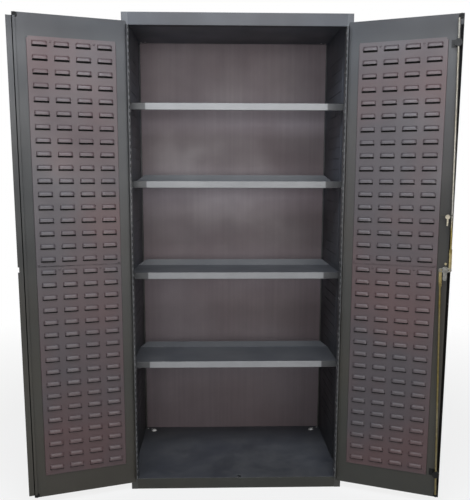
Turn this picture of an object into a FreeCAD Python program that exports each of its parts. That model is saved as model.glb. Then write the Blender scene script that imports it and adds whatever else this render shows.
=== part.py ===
import FreeCAD, Part
import math
import os
import re
import Sketcher

# Steel storage cabinet with two louvred doors, in millimetres.
# The origin is the centre of the base at floor level, +Y points to the back and +Z up.
# Door pieces are laid out with the door closed, measured from its hinge pin, and then turned open.

DOC = FreeCAD.newDocument("cabinet")
SHEET = DOC.addObject("Spreadsheet::Sheet", "Sizes")

SIZES = {
    # Carcass
    "cabinet_width": 914.0,
    "cabinet_depth": 610.0,
    "cabinet_height": 1981.0,
    "skin": 1.5,
    "stile_width": 27.0,
    "stile_return": 25.0,
    "rear_flange": 22.0,
    "header_height": 48.4,
    "sill_height": 47.7,
    "rail_return": 30.0,
    "back_recess": 11.8,
    "back_edge_gap": 7.0,
    "channel_width": 60.0,
    "channel_wing": 20.0,
    "overrun": 5.0,
    # Slotted strips on the side walls
    "strip_front": 190.0,
    "strip_length": 310.0,
    "strip_sheet": 1.2,
    "strip_standoff": 1.3,
    "slot_front": 200.0,
    "slot_length": 290.0,
    "slot_height": 5.0,
    "first_slot_drop": 128.0,
    "last_slot_height": 201.0,
    "slot_rows": 36,
    # Shelves
    "shelf_sheet": 1.2,
    "shelf_front": 120.0,
    "shelf_depth": 258.0,
    "shelf_end_gap": 2.0,
    "shelf_lip": 28.0,
    "shelf_hem": 12.0,
    "shelf_upstand": 27.0,
    "upstand_slope": 36.0,
    "shelf_1_height_share": 0.8334,
    "shelf_2_height_share": 0.6709,
    "shelf_3_height_share": 0.4733,
    "shelf_4_height_share": 0.2721,
    "bracket_length": 30.0,
    "bracket_ledge": 14.0,
    "bracket_tab_height": 3.0,
    "bracket_gap": 0.3,
    "bracket_margin": 25.0,
    # Piano hinges
    "pin_beyond_opening": 3.0,
    "pin_proud": 4.5,
    "pin_radius": 1.75,
    "pin_clearance": 0.05,
    "knuckle_radius": 4.0,
    "knuckle_length": 12.7,
    "knuckle_gap": 0.3,
    "knuckle_room": 0.4,
    "hinge_end_gap": 0.5,
    "leaf_sheet": 1.6,
    "leaf_gap": 0.3,
    "leaf_reach": 26.0,
    "rivet_top_gap": 22.6,
    "rivet_foot_gap": 33.5,
    "rivet_depth": 14.5,
    "rivet_head_radius": 4.0,
    "rivet_head_height": 0.8,
    "rivet_shank_radius": 2.0,
    "rivet_tail_height": 1.0,
    "rivet_count": 13,
    # Doors
    "left_open_angle": 161.6,
    "right_open_angle": 157.1,
    "door_sheet": 1.5,
    "door_lap": 13.6,
    "door_centre_gap": 5.0,
    "door_centre_shift": 2.0,
    "hinge_flange_depth": 25.0,
    "flange_end_gap": 2.3,
    "right_edge_depth": 9.5,
    "left_edge_depth": 10.3,
    "left_lip_width": 11.0,
    "astragal_sheet": 1.5,
    "astragal_overhang": 22.0,
    "astragal_notch_depth": 5.0,
    "astragal_notch_height": 20.0,
    "bumper_radius": 10.0,
    "bumper_height": 4.2,
    "bumper_inset": 10.0,
    "bumper_drop": 9.8,
    # Louvred panels
    "panel_sheet": 1.2,
    "panel_depth": 6.0,
    "panel_start": 47.0,
    "panel_width": 333.5,
    "panel_base": 127.5,
    "panel_height": 865.0,
    "panel_joint": 0.3,
    "hood_columns": 4,
    "hood_rows": 17,
    "hood_first_column": 43.8,
    "hood_column_pitch": 81.1,
    "hood_first_row": 26.5,
    "hood_width": 57.0,
    "hood_height": 16.0,
    "hood_lift": 8.5,
    "hood_front_height": 4.5,
    "hood_opening": 6.5,
    "screw_radius": 4.0,
    "screw_height": 1.8,
    "screw_edge_drop": 10.5,
    "screw_side_inset": 8.0,
    # Latch: handle, cam, dog and rods
    "latch_edge_gap": 19.5,
    "latch_height": 988.5,
    "spindle_radius": 6.0,
    "spindle_clearance": 0.06,
    "square_half": 4.0,
    "cam_front": 17.2,
    "cam_thickness": 3.0,
    "cam_hub_radius": 13.5,
    "cam_lobe_radius": 7.0,
    "cam_lobe_reach": 17.4,
    "crank_radius": 18.0,
    "crank_inner": 12.5,
    "link_pin_radius": 2.0,
    "link_pin_room": 1.3,
    "dog_length": 34.0,
    "dog_half_width": 7.5,
    "nut_radius": 8.0,
    "nut_height": 4.0,
    "washer_thickness": 1.2,
    "rod_radius": 4.0,
    "rod_depth": 20.0,
    "rod_end_gap": 6.6,
    "link_width": 11.0,
    "link_thickness": 2.5,
    "link_front": 14.4,
    "upper_link_length": 82.0,
    "lower_link_length": 66.0,
    "link_lap": 14.0,
    "upper_guide_edge_gap": 15.5,
    "upper_guide_drop": 142.0,
    "lower_guide_edge_gap": 13.0,
    "lower_guide_height": 142.0,
    "guide_front": 12.1,
    "guide_sheet": 1.5,
    "guide_radius": 14.0,
    "guide_height": 12.8,
    "guide_foot_width": 20.0,
    "guide_riser_edge_gap": 21.5,
    "ball_radius": 11.0,
    "ball_height": 9.6,
    "ball_side_room": 0.1,
    "fit_clearance": 0.05,
    "guide_slot_room": 0.6,
    "strike_radius": 8.0,
    # Handle and lock outside the right door
    "base_width": 36.0,
    "base_height": 110.0,
    "base_depth": 10.0,
    "handle_gap": 0.3,
    "hub_radius": 17.0,
    "hub_depth": 19.0,
    "grip_length": 112.0,
    "grip_radius": 11.0,
    "grip_depth": 12.0,
    "lock_radius": 6.5,
    "lock_depth": 15.0,
    "lock_proud": 1.0,
    "key_slot_width": 1.6,
    "key_slot_length": 8.0,
    "key_slot_depth": 3.0,
    "mount_screw_radius": 3.0,
    "mount_screw_offset": 22.0,
    "mount_nut_radius": 5.0,
    "mount_nut_height": 4.0,
    # Keys tied to the upper rod
    "tie_above_latch": 211.5,
    "tie_band": 3.5,
    "tie_thickness": 1.2,
    "tie_tail": 44.0,
    "key_bow_radius": 9.0,
    "key_thickness": 2.0,
    "key_blade_length": 26.0,
    "key_blade_half": 3.2,
    "key_offset": 15.0,
    # Fasteners in the floor and the roof
    "bolt_head_radius": 9.0,
    "bolt_head_height": 5.0,
    "bolt_washer_radius": 13.0,
    "bolt_side_gap": 49.0,
    "bolt_back_gap": 59.0,
    "stud_radius": 3.5,
    "stud_height": 1.2,
    "stud_side_gap": 37.0,
    "stud_corner_gap": 16.0,
    "stud_front_back_gap": 40.0,
    "stud_rear_back_gap": 31.0,
}

# Places that follow from the sizes above
FOLLOWING = {
    "right_door_width": "=cabinet_width / 2 - stile_width + pin_beyond_opening"
                        " - door_centre_gap / 2 + door_centre_shift",
    "latch_across": "=right_door_width - latch_edge_gap",
    "upper_guide_across": "=right_door_width - upper_guide_edge_gap",
    "lower_guide_across": "=right_door_width - lower_guide_edge_gap",
    "guide_riser_across": "=right_door_width - guide_riser_edge_gap",
    "upper_guide_height": "=cabinet_height - upper_guide_drop",
    "tie_height": "=latch_height + tie_above_latch",
    "hood_row_pitch": "=panel_height / hood_rows",
    "first_slot_height": "=cabinet_height - first_slot_drop",
    "slot_pitch": "=(first_slot_height - last_slot_height) / (slot_rows - 1)",
    "rivet_pitch": "=(cabinet_height - header_height - rivet_top_gap - sill_height - rivet_foot_gap)"
                   " / (rivet_count - 1)",
    "shelf_height_1": "=cabinet_height * shelf_1_height_share",
    "shelf_height_2": "=cabinet_height * shelf_2_height_share",
    "shelf_height_3": "=cabinet_height * shelf_3_height_share",
    "shelf_height_4": "=cabinet_height * shelf_4_height_share",
    "bolt_across": "=cabinet_width / 2 - bolt_side_gap",
    "bolt_depth": "=cabinet_depth - bolt_back_gap",
    "stud_across": "=cabinet_width / 2 - stud_side_gap",
    "stud_corner_across": "=cabinet_width / 2 - stud_corner_gap",
    "stud_front_depth": "=cabinet_depth - stud_front_back_gap",
    "stud_rear_depth": "=cabinet_depth - stud_rear_back_gap",
}

for row_number, (size_name, size_value) in enumerate({**SIZES, **FOLLOWING}.items(), start=1):
    SHEET.set("A%d" % row_number, size_name)
    SHEET.set("B%d" % row_number, str(size_value))
    SHEET.setAlias("B%d" % row_number, size_name)
DOC.recompute()

NODES = []
RIGHT = 1
LEFT = -1


def size(name):
    """Value of one named size."""
    return float(SHEET.get(name))


def bind(item, prop, text):
    """Tie a property to an expression written in size names."""
    def full(match):
        word = match.group(0)
        return "Sizes." + word if word in SIZES or word in FOLLOWING else word
    item.setExpression(prop, re.sub(r"[a-z_][a-z_0-9]*", full, text))


def place(item, across, depth, height):
    """Bind the three coordinates of a piece's own position."""
    bind(item, "Placement.Base.x", across)
    bind(item, "Placement.Base.y", depth)
    bind(item, "Placement.Base.z", height)


def span(side, near, far):
    """Low and high X of a stretch given as two distances from X = 0 on one side."""
    if side == RIGHT:
        return near, far
    return "-(%s)" % far, "-(%s)" % near


def block(name, across, depth, height):
    """Box between three pairs of expressions."""
    item = DOC.addObject("Part::Box", name)
    bind(item, "Length", "(%s) - (%s)" % (across[1], across[0]))
    bind(item, "Width", "(%s) - (%s)" % (depth[1], depth[0]))
    bind(item, "Height", "(%s) - (%s)" % (height[1], height[0]))
    place(item, "(%s)" % across[0], "(%s)" % depth[0], "(%s)" % height[0])
    return item


def turned_rod(name, radius, length, across, depth, height, axis="z"):
    """Cylinder that starts at a point and runs along one axis."""
    item = DOC.addObject("Part::Cylinder", name)
    bind(item, "Radius", radius)
    bind(item, "Height", length)
    if axis == "y":
        item.Placement.Rotation = FreeCAD.Rotation(FreeCAD.Vector(1, 0, 0), -90)
    place(item, across, depth, height)
    return item


def joined(name, pieces):
    """One solid from several."""
    item = DOC.addObject("Part::MultiFuse", name)
    item.Shapes = pieces
    item.Refine = True
    return item


def cut(name, base, tool):
    """A solid less another."""
    item = DOC.addObject("Part::Cut", name)
    item.Base = base
    item.Tool = tool
    item.Refine = True
    return item


def group(name, pieces):
    """Several solids kept apart in one object."""
    item = DOC.addObject("Part::Compound", name)
    item.Links = pieces
    return item


def shaped(name, shape):
    """Object that carries a shape worked out from the sizes."""
    item = DOC.addObject("Part::Feature", name)
    item.Shape = shape
    return item


def node(label, item):
    """Mark a finished sub-part of the carcass."""
    item.Label = label
    NODES.append(item)
    return item


def door_node(label, side, item):
    """Mark a finished sub-part that hangs on a door, and turn it open about the pin."""
    holder = group(label + "_on_door", [item])
    across = "(cabinet_width / 2 - stile_width + pin_beyond_opening)"
    angle = "right_open_angle" if side == RIGHT else "left_open_angle"
    sign = "" if side == RIGHT else "-"
    place(holder, sign + across, "-(cabinet_depth / 2 + pin_proud)", "0")
    bind(holder, "Placement.Rotation.Angle", sign + angle)
    return node(label, holder)


# Places used by several pieces, as expressions
OPENING_HALF = "(cabinet_width / 2 - stile_width)"
SKIN_INNER = "(cabinet_width / 2 - skin)"
STRIP_INNER = "(cabinet_width / 2 - skin - strip_standoff - strip_sheet)"
FRONT = "(-cabinet_depth / 2)"
REAR = "(cabinet_depth / 2)"
BACK_FACE = "(cabinet_depth / 2 - back_recess - skin)"
OPENING_TOP = "(cabinet_height - header_height)"
PIN_ACROSS = size("cabinet_width") / 2 - size("stile_width") + size("pin_beyond_opening")
PIN_DEPTH = -(size("cabinet_depth") / 2 + size("pin_proud"))


def from_front(text):
    """Y of a place given as a depth behind the front face."""
    return "(%s + %s)" % (FRONT, text)


def door_width(side):
    """Width of a door from its pin to its free edge."""
    shift = "door_centre_shift" if side == RIGHT else "(-door_centre_shift)"
    return "(%s + pin_beyond_opening - door_centre_gap / 2 + %s)" % (OPENING_HALF, shift)


def strike_across(side_height):
    """X of the rod's axis where it crosses the header or the floor, latched."""
    guide_across, guide_height, sign = side_height
    pin_height = size("latch_height") + sign * size("crank_radius")
    slope = (guide_across - size("latch_across")) / (guide_height - pin_height)
    level = size("cabinet_height") - size("header_height") if sign > 0 else size("sill_height")
    return PIN_ACROSS - (guide_across + slope * (level - guide_height))


UPPER_GUIDE = (size("upper_guide_across"), size("upper_guide_height"), 1)
LOWER_GUIDE = (size("lower_guide_across"), size("lower_guide_height"), -1)


def strike_hole(name, guide, base_height):
    """Upright cylinder that cuts a rod's strike hole."""
    depth = PIN_DEPTH + size("rod_depth")
    centre = FreeCAD.Vector(strike_across(guide), depth, base_height - size("overrun"))
    length = size("skin") + 2 * size("overrun")
    return shaped(name, Part.makeCylinder(size("strike_radius"), length, centre))


# Rivets of the hinge frame leaves

def frame_rivets(side):
    """Flush rivets along one reveal, in row coordinates."""
    top = size("cabinet_height") - size("header_height") - size("rivet_top_gap")
    reveal = size("cabinet_width") / 2 - size("stile_width")
    inward = FreeCAD.Vector(side, 0, 0)
    rivets = []
    for index in range(int(size("rivet_count"))):
        height = top - index * size("rivet_pitch")
        depth = PIN_DEPTH + size("rivet_depth")
        face = FreeCAD.Vector(side * (reveal - size("leaf_sheet")), depth, height)
        grip = size("leaf_sheet") + size("skin")
        head = Part.makeCylinder(size("rivet_head_radius"), size("rivet_head_height"), face, inward)
        shank = Part.makeCylinder(size("rivet_shank_radius"), grip, face, inward)
        tail = Part.makeCylinder(
            size("rivet_head_radius"), size("rivet_tail_height"), face + inward * grip, inward
        )
        rivets.append(head.fuse([shank, tail]).removeSplitter())
    return rivets


RIVETS = {side: frame_rivets(side) for side in (LEFT, RIGHT)}


# Side panels

def side_panel(side, label):
    """Outer skin with its front stile, reveal and rear flange."""
    half = "cabinet_width / 2"
    skin = block(label + "_skin", span(side, SKIN_INNER, half), (FRONT, REAR), ("0", "cabinet_height"))
    stile = block(
        label + "_stile", span(side, OPENING_HALF, half),
        (FRONT, from_front("skin")), ("0", "cabinet_height"),
    )
    reveal = block(
        label + "_reveal", span(side, OPENING_HALF, OPENING_HALF + " + skin"),
        (FRONT, from_front("stile_return")), ("0", "cabinet_height - skin"),
    )
    rear = block(
        label + "_rear", span(side, half + " - rear_flange", half),
        (REAR + " - skin", REAR), ("0", "cabinet_height - skin"),
    )
    body = joined(label + "_sheet", [skin, stile, reveal, rear])
    holes = shaped(label + "_rivet_holes", Part.makeCompound(RIVETS[side]))
    return node(label, cut(label + "_cut", body, holes))


side_panel(LEFT, "left_side_panel")
side_panel(RIGHT, "right_side_panel")


# Back panel

def back_panel():
    """Tray whose face stands forward of the side panels' rear flanges."""
    edge = "(%s - back_edge_gap)" % SKIN_INNER
    face = block(
        "back_face", ("-" + edge, edge), (BACK_FACE, BACK_FACE + " + skin"),
        ("skin", "cabinet_height - skin"),
    )
    rims = []
    for side in (LEFT, RIGHT):
        rims.append(block(
            "back_rim_%d" % (side + 1), span(side, edge + " - skin", edge),
            (BACK_FACE, REAR + " - skin"), ("skin", "cabinet_height - skin"),
        ))
    return node("back_panel", joined("back_sheet", [face] + rims))


back_panel()


# Roof, header, floor, sill and base channel

def top_panel():
    """Roof sheet with a flange turned down at the back."""
    roof = block(
        "roof_sheet", ("-" + SKIN_INNER, SKIN_INNER), (from_front("skin"), REAR),
        ("cabinet_height - skin", "cabinet_height"),
    )
    edge = "(cabinet_width / 2 - rear_flange)"
    flange = block(
        "roof_flange", ("-" + edge, edge), (REAR + " - skin", REAR),
        ("cabinet_height - header_height", "cabinet_height"),
    )
    return node("top_panel", joined("roof_body", [roof, flange]))


def header():
    """Front rail over the opening, with the upper rod's strike hole."""
    across = ("-" + OPENING_HALF, OPENING_HALF)
    face = block(
        "header_face", across, (FRONT, from_front("skin")), (OPENING_TOP, "cabinet_height"),
    )
    ledge = block(
        "header_ledge", across, (FRONT, from_front("rail_return")),
        (OPENING_TOP, OPENING_TOP + " + skin"),
    )
    rim = block(
        "header_rim", across, (from_front("rail_return - skin"), from_front("rail_return")),
        (OPENING_TOP, "cabinet_height - skin"),
    )
    level = size("cabinet_height") - size("header_height")
    body = joined("header_body", [face, ledge, rim])
    return node("header", cut("header_cut", body, strike_hole("upper_strike", UPPER_GUIDE, level)))


def floor_panel():
    """Cabinet floor level with the sill, turned down at the back, with the lower strike hole."""
    inner = "(cabinet_width / 2 - skin)"
    sheet = block(
        "floor_sheet", ("-" + inner, inner), (from_front("stile_return"), BACK_FACE),
        ("sill_height - skin", "sill_height"),
    )
    tongue = block(
        "floor_tongue", ("-" + OPENING_HALF, OPENING_HALF),
        (from_front("skin"), from_front("stile_return + skin")), ("sill_height - skin", "sill_height"),
    )
    rear = block(
        "floor_rear", ("-" + inner, inner), (BACK_FACE + " - skin", BACK_FACE), ("0", "sill_height"),
    )
    level = size("sill_height") - size("skin")
    body = joined("floor_body", [sheet, tongue, rear])
    return node("floor_panel", cut("floor_cut", body, strike_hole("lower_strike", LOWER_GUIDE, level)))


def sill():
    """Front rail under the opening."""
    across = ("-" + OPENING_HALF, OPENING_HALF)
    face = block("sill_face", across, (FRONT, from_front("skin")), ("0", "sill_height"))
    foot = block("sill_foot", across, (FRONT, from_front("rail_return")), ("0", "skin"))
    return node("sill", joined("sill_body", [face, foot]))


def base_channel():
    """Hat channel that carries the floor along its middle."""
    reach = "(%s - skin)" % OPENING_HALF
    across = ("-" + reach, reach)
    half = "channel_width / 2"
    crown = block("channel_crown", across, ("-" + half, half), ("0", "skin"))
    pieces = [crown]
    for side in (LEFT, RIGHT):
        wall = span(side, half + " - skin", half)
        wing = span(side, half + " - skin", half + " + channel_wing")
        pieces.append(block("channel_wall_%d" % (side + 1), across, wall, ("0", "sill_height - skin")))
        pieces.append(block(
            "channel_wing_%d" % (side + 1), across, wing, ("sill_height - 2 * skin", "sill_height - skin"),
        ))
    return node("base_channel", joined("channel_body", pieces))


top_panel()
header()
floor_panel()
sill()
base_channel()


# Slotted strips on the side walls

def slot_heights():
    """Centre height of each slot, from the top down."""
    first = size("first_slot_height")
    return [first - index * size("slot_pitch") for index in range(int(size("slot_rows")))]


def slotted_strip(side, label):
    """Shallow pan on a side wall with a slot at each shelf position."""
    depth = (from_front("strip_front"), from_front("strip_front + strip_length"))
    height = ("sill_height", "cabinet_height - skin")
    plate = block(label + "_plate", span(side, STRIP_INNER, STRIP_INNER + " + strip_sheet"), depth, height)
    rim_across = span(side, STRIP_INNER, SKIN_INNER)
    front_rim = block(label + "_front_rim", rim_across, (depth[0], depth[0] + " + strip_sheet"), height)
    rear_rim = block(label + "_rear_rim", rim_across, (depth[1] + " - strip_sheet", depth[1]), height)
    body = joined(label + "_body", [plate, front_rim, rear_rim])
    inner = size("cabinet_width") / 2 - size("skin") - size("strip_standoff") - size("strip_sheet")
    reach = size("strip_sheet") + size("overrun")
    start = side * inner - (size("overrun") if side == RIGHT else size("strip_sheet"))
    slots = []
    for height_now in slot_heights():
        corner = FreeCAD.Vector(
            start, size("slot_front") - size("cabinet_depth") / 2, height_now - size("slot_height") / 2
        )
        slots.append(Part.makeBox(reach, size("slot_length"), size("slot_height"), corner))
    tool = shaped(label + "_slots", Part.makeCompound(slots))
    return node(label, cut(label + "_cut", body, tool))


slotted_strip(LEFT, "left_slot_strip")
slotted_strip(RIGHT, "right_slot_strip")


# Shelves, each a bent sheet drawn as a profile and padded across the cabinet

def origin_plane(body, role):
    """Reference plane of a body, by its role."""
    for feature in body.Origin.OriginFeatures:
        if feature.Role == role:
            return feature
    raise ValueError(role)


def outline_sketch(body, name, role, points):
    """Closed sketch through points given as pairs of expressions."""
    sketch = body.newObject("Sketcher::SketchObject", name)
    sketch.AttachmentSupport = [(origin_plane(body, role), "")]
    sketch.MapMode = "FlatFace"
    corners = [(number(first), number(second)) for first, second in points]
    for index, corner in enumerate(corners):
        after = corners[(index + 1) % len(corners)]
        sketch.addGeometry(Part.LineSegment(
            FreeCAD.Vector(corner[0], corner[1], 0), FreeCAD.Vector(after[0], after[1], 0)
        ))
    for index in range(len(corners)):
        following = (index + 1) % len(corners)
        sketch.addConstraint(Sketcher.Constraint("Coincident", index, 2, following, 1))
    for index, (first, second) in enumerate(points):
        for kind, text, value in (
            ("DistanceX", first, corners[index][0]), ("DistanceY", second, corners[index][1])
        ):
            row = sketch.addConstraint(Sketcher.Constraint(kind, -1, 1, index, 1, value))
            bind(sketch, "Constraints[%d]" % row, text)
    return sketch


def number(text):
    """Value of an expression written in size names."""
    words = re.findall(r"[a-z_][a-z_0-9]*", text)
    probe = DOC.getObject("Probe") or DOC.addObject("App::FeaturePython", "Probe")
    if "Value" not in probe.PropertiesList:
        probe.addProperty("App::PropertyFloat", "Value")
    bind(probe, "Value", text if words else "1 * (%s)" % text)
    probe.recompute()
    return probe.Value


def upstand_ends(index):
    """What is cut away beside the upstand, so that its ends slope inward to the top."""
    half = size("cabinet_width") / 2 - size("skin") - size("strip_standoff") - size("strip_sheet")
    half -= size("shelf_end_gap")
    base = size("shelf_height_%d" % index)
    high = base + size("shelf_upstand")
    rear = size("shelf_front") + size("shelf_depth") - size("cabinet_depth") / 2
    start = rear - size("shelf_sheet") - size("overrun")
    ends = []
    for side in (LEFT, RIGHT):
        corners = [
            (half, base),
            (half - size("upstand_slope"), high),
            (half - size("upstand_slope"), high + size("overrun")),
            (half + size("overrun"), high + size("overrun")),
            (half + size("overrun"), base),
            (half, base),
        ]
        outline = Part.makePolygon([FreeCAD.Vector(side * across, start, up) for across, up in corners])
        reach = FreeCAD.Vector(0, size("shelf_sheet") + 2 * size("overrun"), 0)
        ends.append(Part.Face(outline).extrude(reach))
    return shaped("shelf_%d_ends" % index, Part.makeCompound(ends))


def shelf(index):
    """Shelf with a hemmed front lip and an upstand along its back."""
    label = "shelf_%d" % index
    top = "shelf_height_%d" % index
    front = from_front("shelf_front")
    rear = from_front("shelf_front + shelf_depth")
    body = DOC.addObject("PartDesign::Body", label + "_body")
    points = [
        (front, top),
        (front, top + " - shelf_lip"),
        (front + " + shelf_hem", top + " - shelf_lip"),
        (front + " + shelf_hem", top + " - shelf_lip + shelf_sheet"),
        (front + " + shelf_sheet", top + " - shelf_lip + shelf_sheet"),
        (front + " + shelf_sheet", top + " - shelf_sheet"),
        (rear, top + " - shelf_sheet"),
        (rear, top + " + shelf_upstand"),
        (rear + " - shelf_sheet", top + " + shelf_upstand"),
        (rear + " - shelf_sheet", top),
    ]
    sketch = outline_sketch(body, label + "_profile", "YZ_Plane", points)
    pad = body.newObject("PartDesign::Pad", label + "_pad")
    pad.Profile = sketch
    pad.Midplane = True
    bind(pad, "Length", "2 * (%s - shelf_end_gap)" % STRIP_INNER)
    return node(label, cut(label + "_cut", body, upstand_ends(index)))


SHELF_COUNT = 4
for shelf_index in range(1, SHELF_COUNT + 1):
    shelf(shelf_index)


def bracket_slab(side, depth, near, far, base, top):
    """Box of one bracket's length between two distances from X = 0 and two heights."""
    first, last = sorted((side * near, side * far))
    corner = FreeCAD.Vector(first, depth - size("cabinet_depth") / 2, base)
    return Part.makeBox(last - first, size("bracket_length"), top - base, corner)


def shelf_brackets():
    """Hooks in the slots, two under each end of each shelf."""
    inner = size("cabinet_width") / 2 - size("skin") - size("strip_standoff") - size("strip_sheet")
    sheet = size("shelf_sheet")
    face = inner - size("bracket_gap")
    near = size("slot_front") + size("bracket_margin")
    far = size("shelf_front") + size("shelf_depth") - size("bracket_margin") - size("bracket_length")
    brackets = []
    for index in range(1, SHELF_COUNT + 1):
        seat = size("shelf_height_%d" % index) - sheet
        slot = max(height for height in slot_heights() if height < seat - size("slot_height"))
        for side in (LEFT, RIGHT):
            for depth in (near, far):
                low = slot - size("bracket_tab_height") / 2
                high = low + size("bracket_tab_height")
                plate = bracket_slab(side, depth, face - sheet, face, low, seat)
                ledge = bracket_slab(side, depth, face - size("bracket_ledge"), face, seat - sheet, seat)
                tab = bracket_slab(side, depth, face - sheet, inner + size("strip_sheet"), low, high)
                brackets.append(plate.fuse([ledge, tab]).removeSplitter())
    return node("shelf_brackets", shaped("brackets", Part.makeCompound(brackets)))


shelf_brackets()
node("frame_leaf_rivets", shaped("rivets", Part.makeCompound(RIVETS[LEFT] + RIVETS[RIGHT])))


# Bolts and studs at the back of the floor and roof

BOLT_SIDES = 6
FULL_TURN = 360

def floor_bolts():
    """Hexagon heads on washers, through the floor."""
    bolts = []
    for side in (LEFT, RIGHT):
        base = FreeCAD.Vector(
            side * size("bolt_across"), size("bolt_depth") - size("cabinet_depth") / 2, size("sill_height")
        )
        washer = Part.makeCylinder(size("bolt_washer_radius"), size("washer_thickness"), base)
        seat = base + FreeCAD.Vector(0, 0, size("washer_thickness"))
        corners = []
        for turn in range(BOLT_SIDES + 1):
            angle = math.radians(FULL_TURN / BOLT_SIDES * turn)
            offset = FreeCAD.Vector(math.cos(angle), math.sin(angle), 0) * size("bolt_head_radius")
            corners.append(seat + offset)
        head = Part.Face(Part.makePolygon(corners)).extrude(FreeCAD.Vector(0, 0, size("bolt_head_height")))
        bolts.append(washer.fuse(head).removeSplitter())
    return node("floor_bolts", shaped("bolts", Part.makeCompound(bolts)))


def corner_studs():
    """Small rivet heads at the rear corners, on the floor and under the roof."""
    studs = []
    levels = (
        (size("sill_height"), 1),
        (size("cabinet_height") - size("skin"), -1),
    )
    for level, up in levels:
        for side in (LEFT, RIGHT):
            for across, depth in (
                (size("stud_across"), size("stud_front_depth")),
                (size("stud_corner_across"), size("stud_rear_depth")),
            ):
                base = FreeCAD.Vector(side * across, depth - size("cabinet_depth") / 2, level)
                studs.append(Part.makeCylinder(
                    size("stud_radius"), size("stud_height"), base, FreeCAD.Vector(0, 0, up)
                ))
    return node("corner_studs", shaped("studs", Part.makeCompound(studs)))


floor_bolts()
corner_studs()


# Piano hinges

def knuckle_count():
    """Number of knuckles that fit in the height of the opening."""
    length = size("cabinet_height") - size("header_height") - size("sill_height")
    return int((length - 2 * size("hinge_end_gap")) // size("knuckle_length"))


def hinge_base():
    """Height of the lowest knuckle's foot, with the hinge centred in the opening."""
    low = size("sill_height")
    high = size("cabinet_height") - size("header_height")
    return (low + high - knuckle_count() * size("knuckle_length")) / 2


def wide_box(side, near, far, front, rear, base, top):
    """Box beside the pin: near and far are measured from the pin towards the free edge."""
    first, last = sorted((-side * near, -side * far))
    return Part.makeBox(last - first, rear - front, top - base, FreeCAD.Vector(first, front, base))


def barrel():
    """Tube round the pin, as long as the hinge."""
    foot, head = leaf_span()
    return Part.makeCylinder(size("knuckle_radius"), head - foot, FreeCAD.Vector(0, 0, foot))


def bored(shape):
    """Hinge leaf with the pin's bore."""
    length = knuckle_count() * size("knuckle_length") + 2 * size("overrun")
    base = FreeCAD.Vector(0, 0, hinge_base() - size("overrun"))
    return shape.cut(Part.makeCylinder(size("pin_radius") + size("pin_clearance"), length, base))


def knuckle_bands(odd):
    """Foot and head of each knuckle gap of one leaf, with the gap between knuckles added."""
    half_gap = size("knuckle_gap") / 2
    bands = []
    for index in range(knuckle_count()):
        if index % 2 == odd:
            foot = hinge_base() + index * size("knuckle_length")
            bands.append((foot - half_gap, foot + size("knuckle_length") + half_gap))
    return bands


def leaf_span():
    """Foot and head of the hinge leaves."""
    return hinge_base(), hinge_base() + knuckle_count() * size("knuckle_length")


def frame_leaf(side, label):
    """Leaf on the reveal, with every second knuckle."""
    near = size("pin_beyond_opening")
    foot, head = leaf_span()
    leaf = wide_box(side, near, near + size("leaf_sheet"), 0, size("leaf_reach"), foot, head)
    shape = bored(leaf.fuse(barrel()))
    room = size("knuckle_radius") + 2 * size("leaf_sheet") + size("knuckle_room")
    gaps = [wide_box(side, -room, room, -room, room, low, high) for low, high in knuckle_bands(1)]
    moved = [rivet.copy() for rivet in RIVETS[side]]
    for rivet in moved:
        rivet.translate(FreeCAD.Vector(-side * PIN_ACROSS, -PIN_DEPTH, 0))
    shape = shape.cut(gaps).cut(moved)
    item = shaped(label + "_shape", shape)
    item.Placement = FreeCAD.Placement(FreeCAD.Vector(side * PIN_ACROSS, PIN_DEPTH, 0), FreeCAD.Rotation())
    return node(label, item)


def door_leaf(side, label):
    """Leaf on the door's hinge flange, with the other knuckles."""
    near = size("pin_beyond_opening") + size("leaf_sheet") + size("leaf_gap")
    foot, head = leaf_span()
    far = near + size("leaf_sheet")
    leaf = wide_box(side, near, far, -size("leaf_sheet") / 2, size("leaf_reach") - size("leaf_gap"), foot, head)
    half = size("leaf_sheet") / 2
    bridge = wide_box(side, size("pin_beyond_opening"), far, -half, half, foot, head)
    shape = bored(leaf.fuse([barrel(), bridge]))
    room = size("knuckle_radius") + size("knuckle_room")
    gaps = [wide_box(side, -room, near, -room, room, low, high) for low, high in knuckle_bands(0)]
    return door_node(label, side, shaped(label + "_shape", shape.cut(gaps)))


def hinge_pin(side, label):
    """Pin through all the knuckles."""
    foot, head = leaf_span()
    base = FreeCAD.Vector(side * PIN_ACROSS, PIN_DEPTH, foot)
    return node(label, shaped(label + "_shape", Part.makeCylinder(size("pin_radius"), head - foot, base)))


for hinge_side, hinge_name in ((LEFT, "left"), (RIGHT, "right")):
    frame_leaf(hinge_side, hinge_name + "_hinge_frame_leaf")
    door_leaf(hinge_side, hinge_name + "_hinge_door_leaf")
    hinge_pin(hinge_side, hinge_name + "_hinge_pin")


# Door panels

FLANGE_NEAR = "(pin_beyond_opening + 2 * leaf_sheet + leaf_gap)"
DOOR_BASE = "(sill_height - door_lap)"
DOOR_TOP = "(%s + door_lap)" % OPENING_TOP
FLANGE_BASE = "(sill_height + flange_end_gap)"
FLANGE_TOP = "(%s - flange_end_gap)" % OPENING_TOP


def door_block(side, name, near, far, front, rear, base, top):
    """Box on a door: near and far run from the pin to the free edge, front and rear from the pin inwards."""
    return block(name, span(-side, near, far), (front, rear), (base, top))


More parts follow.
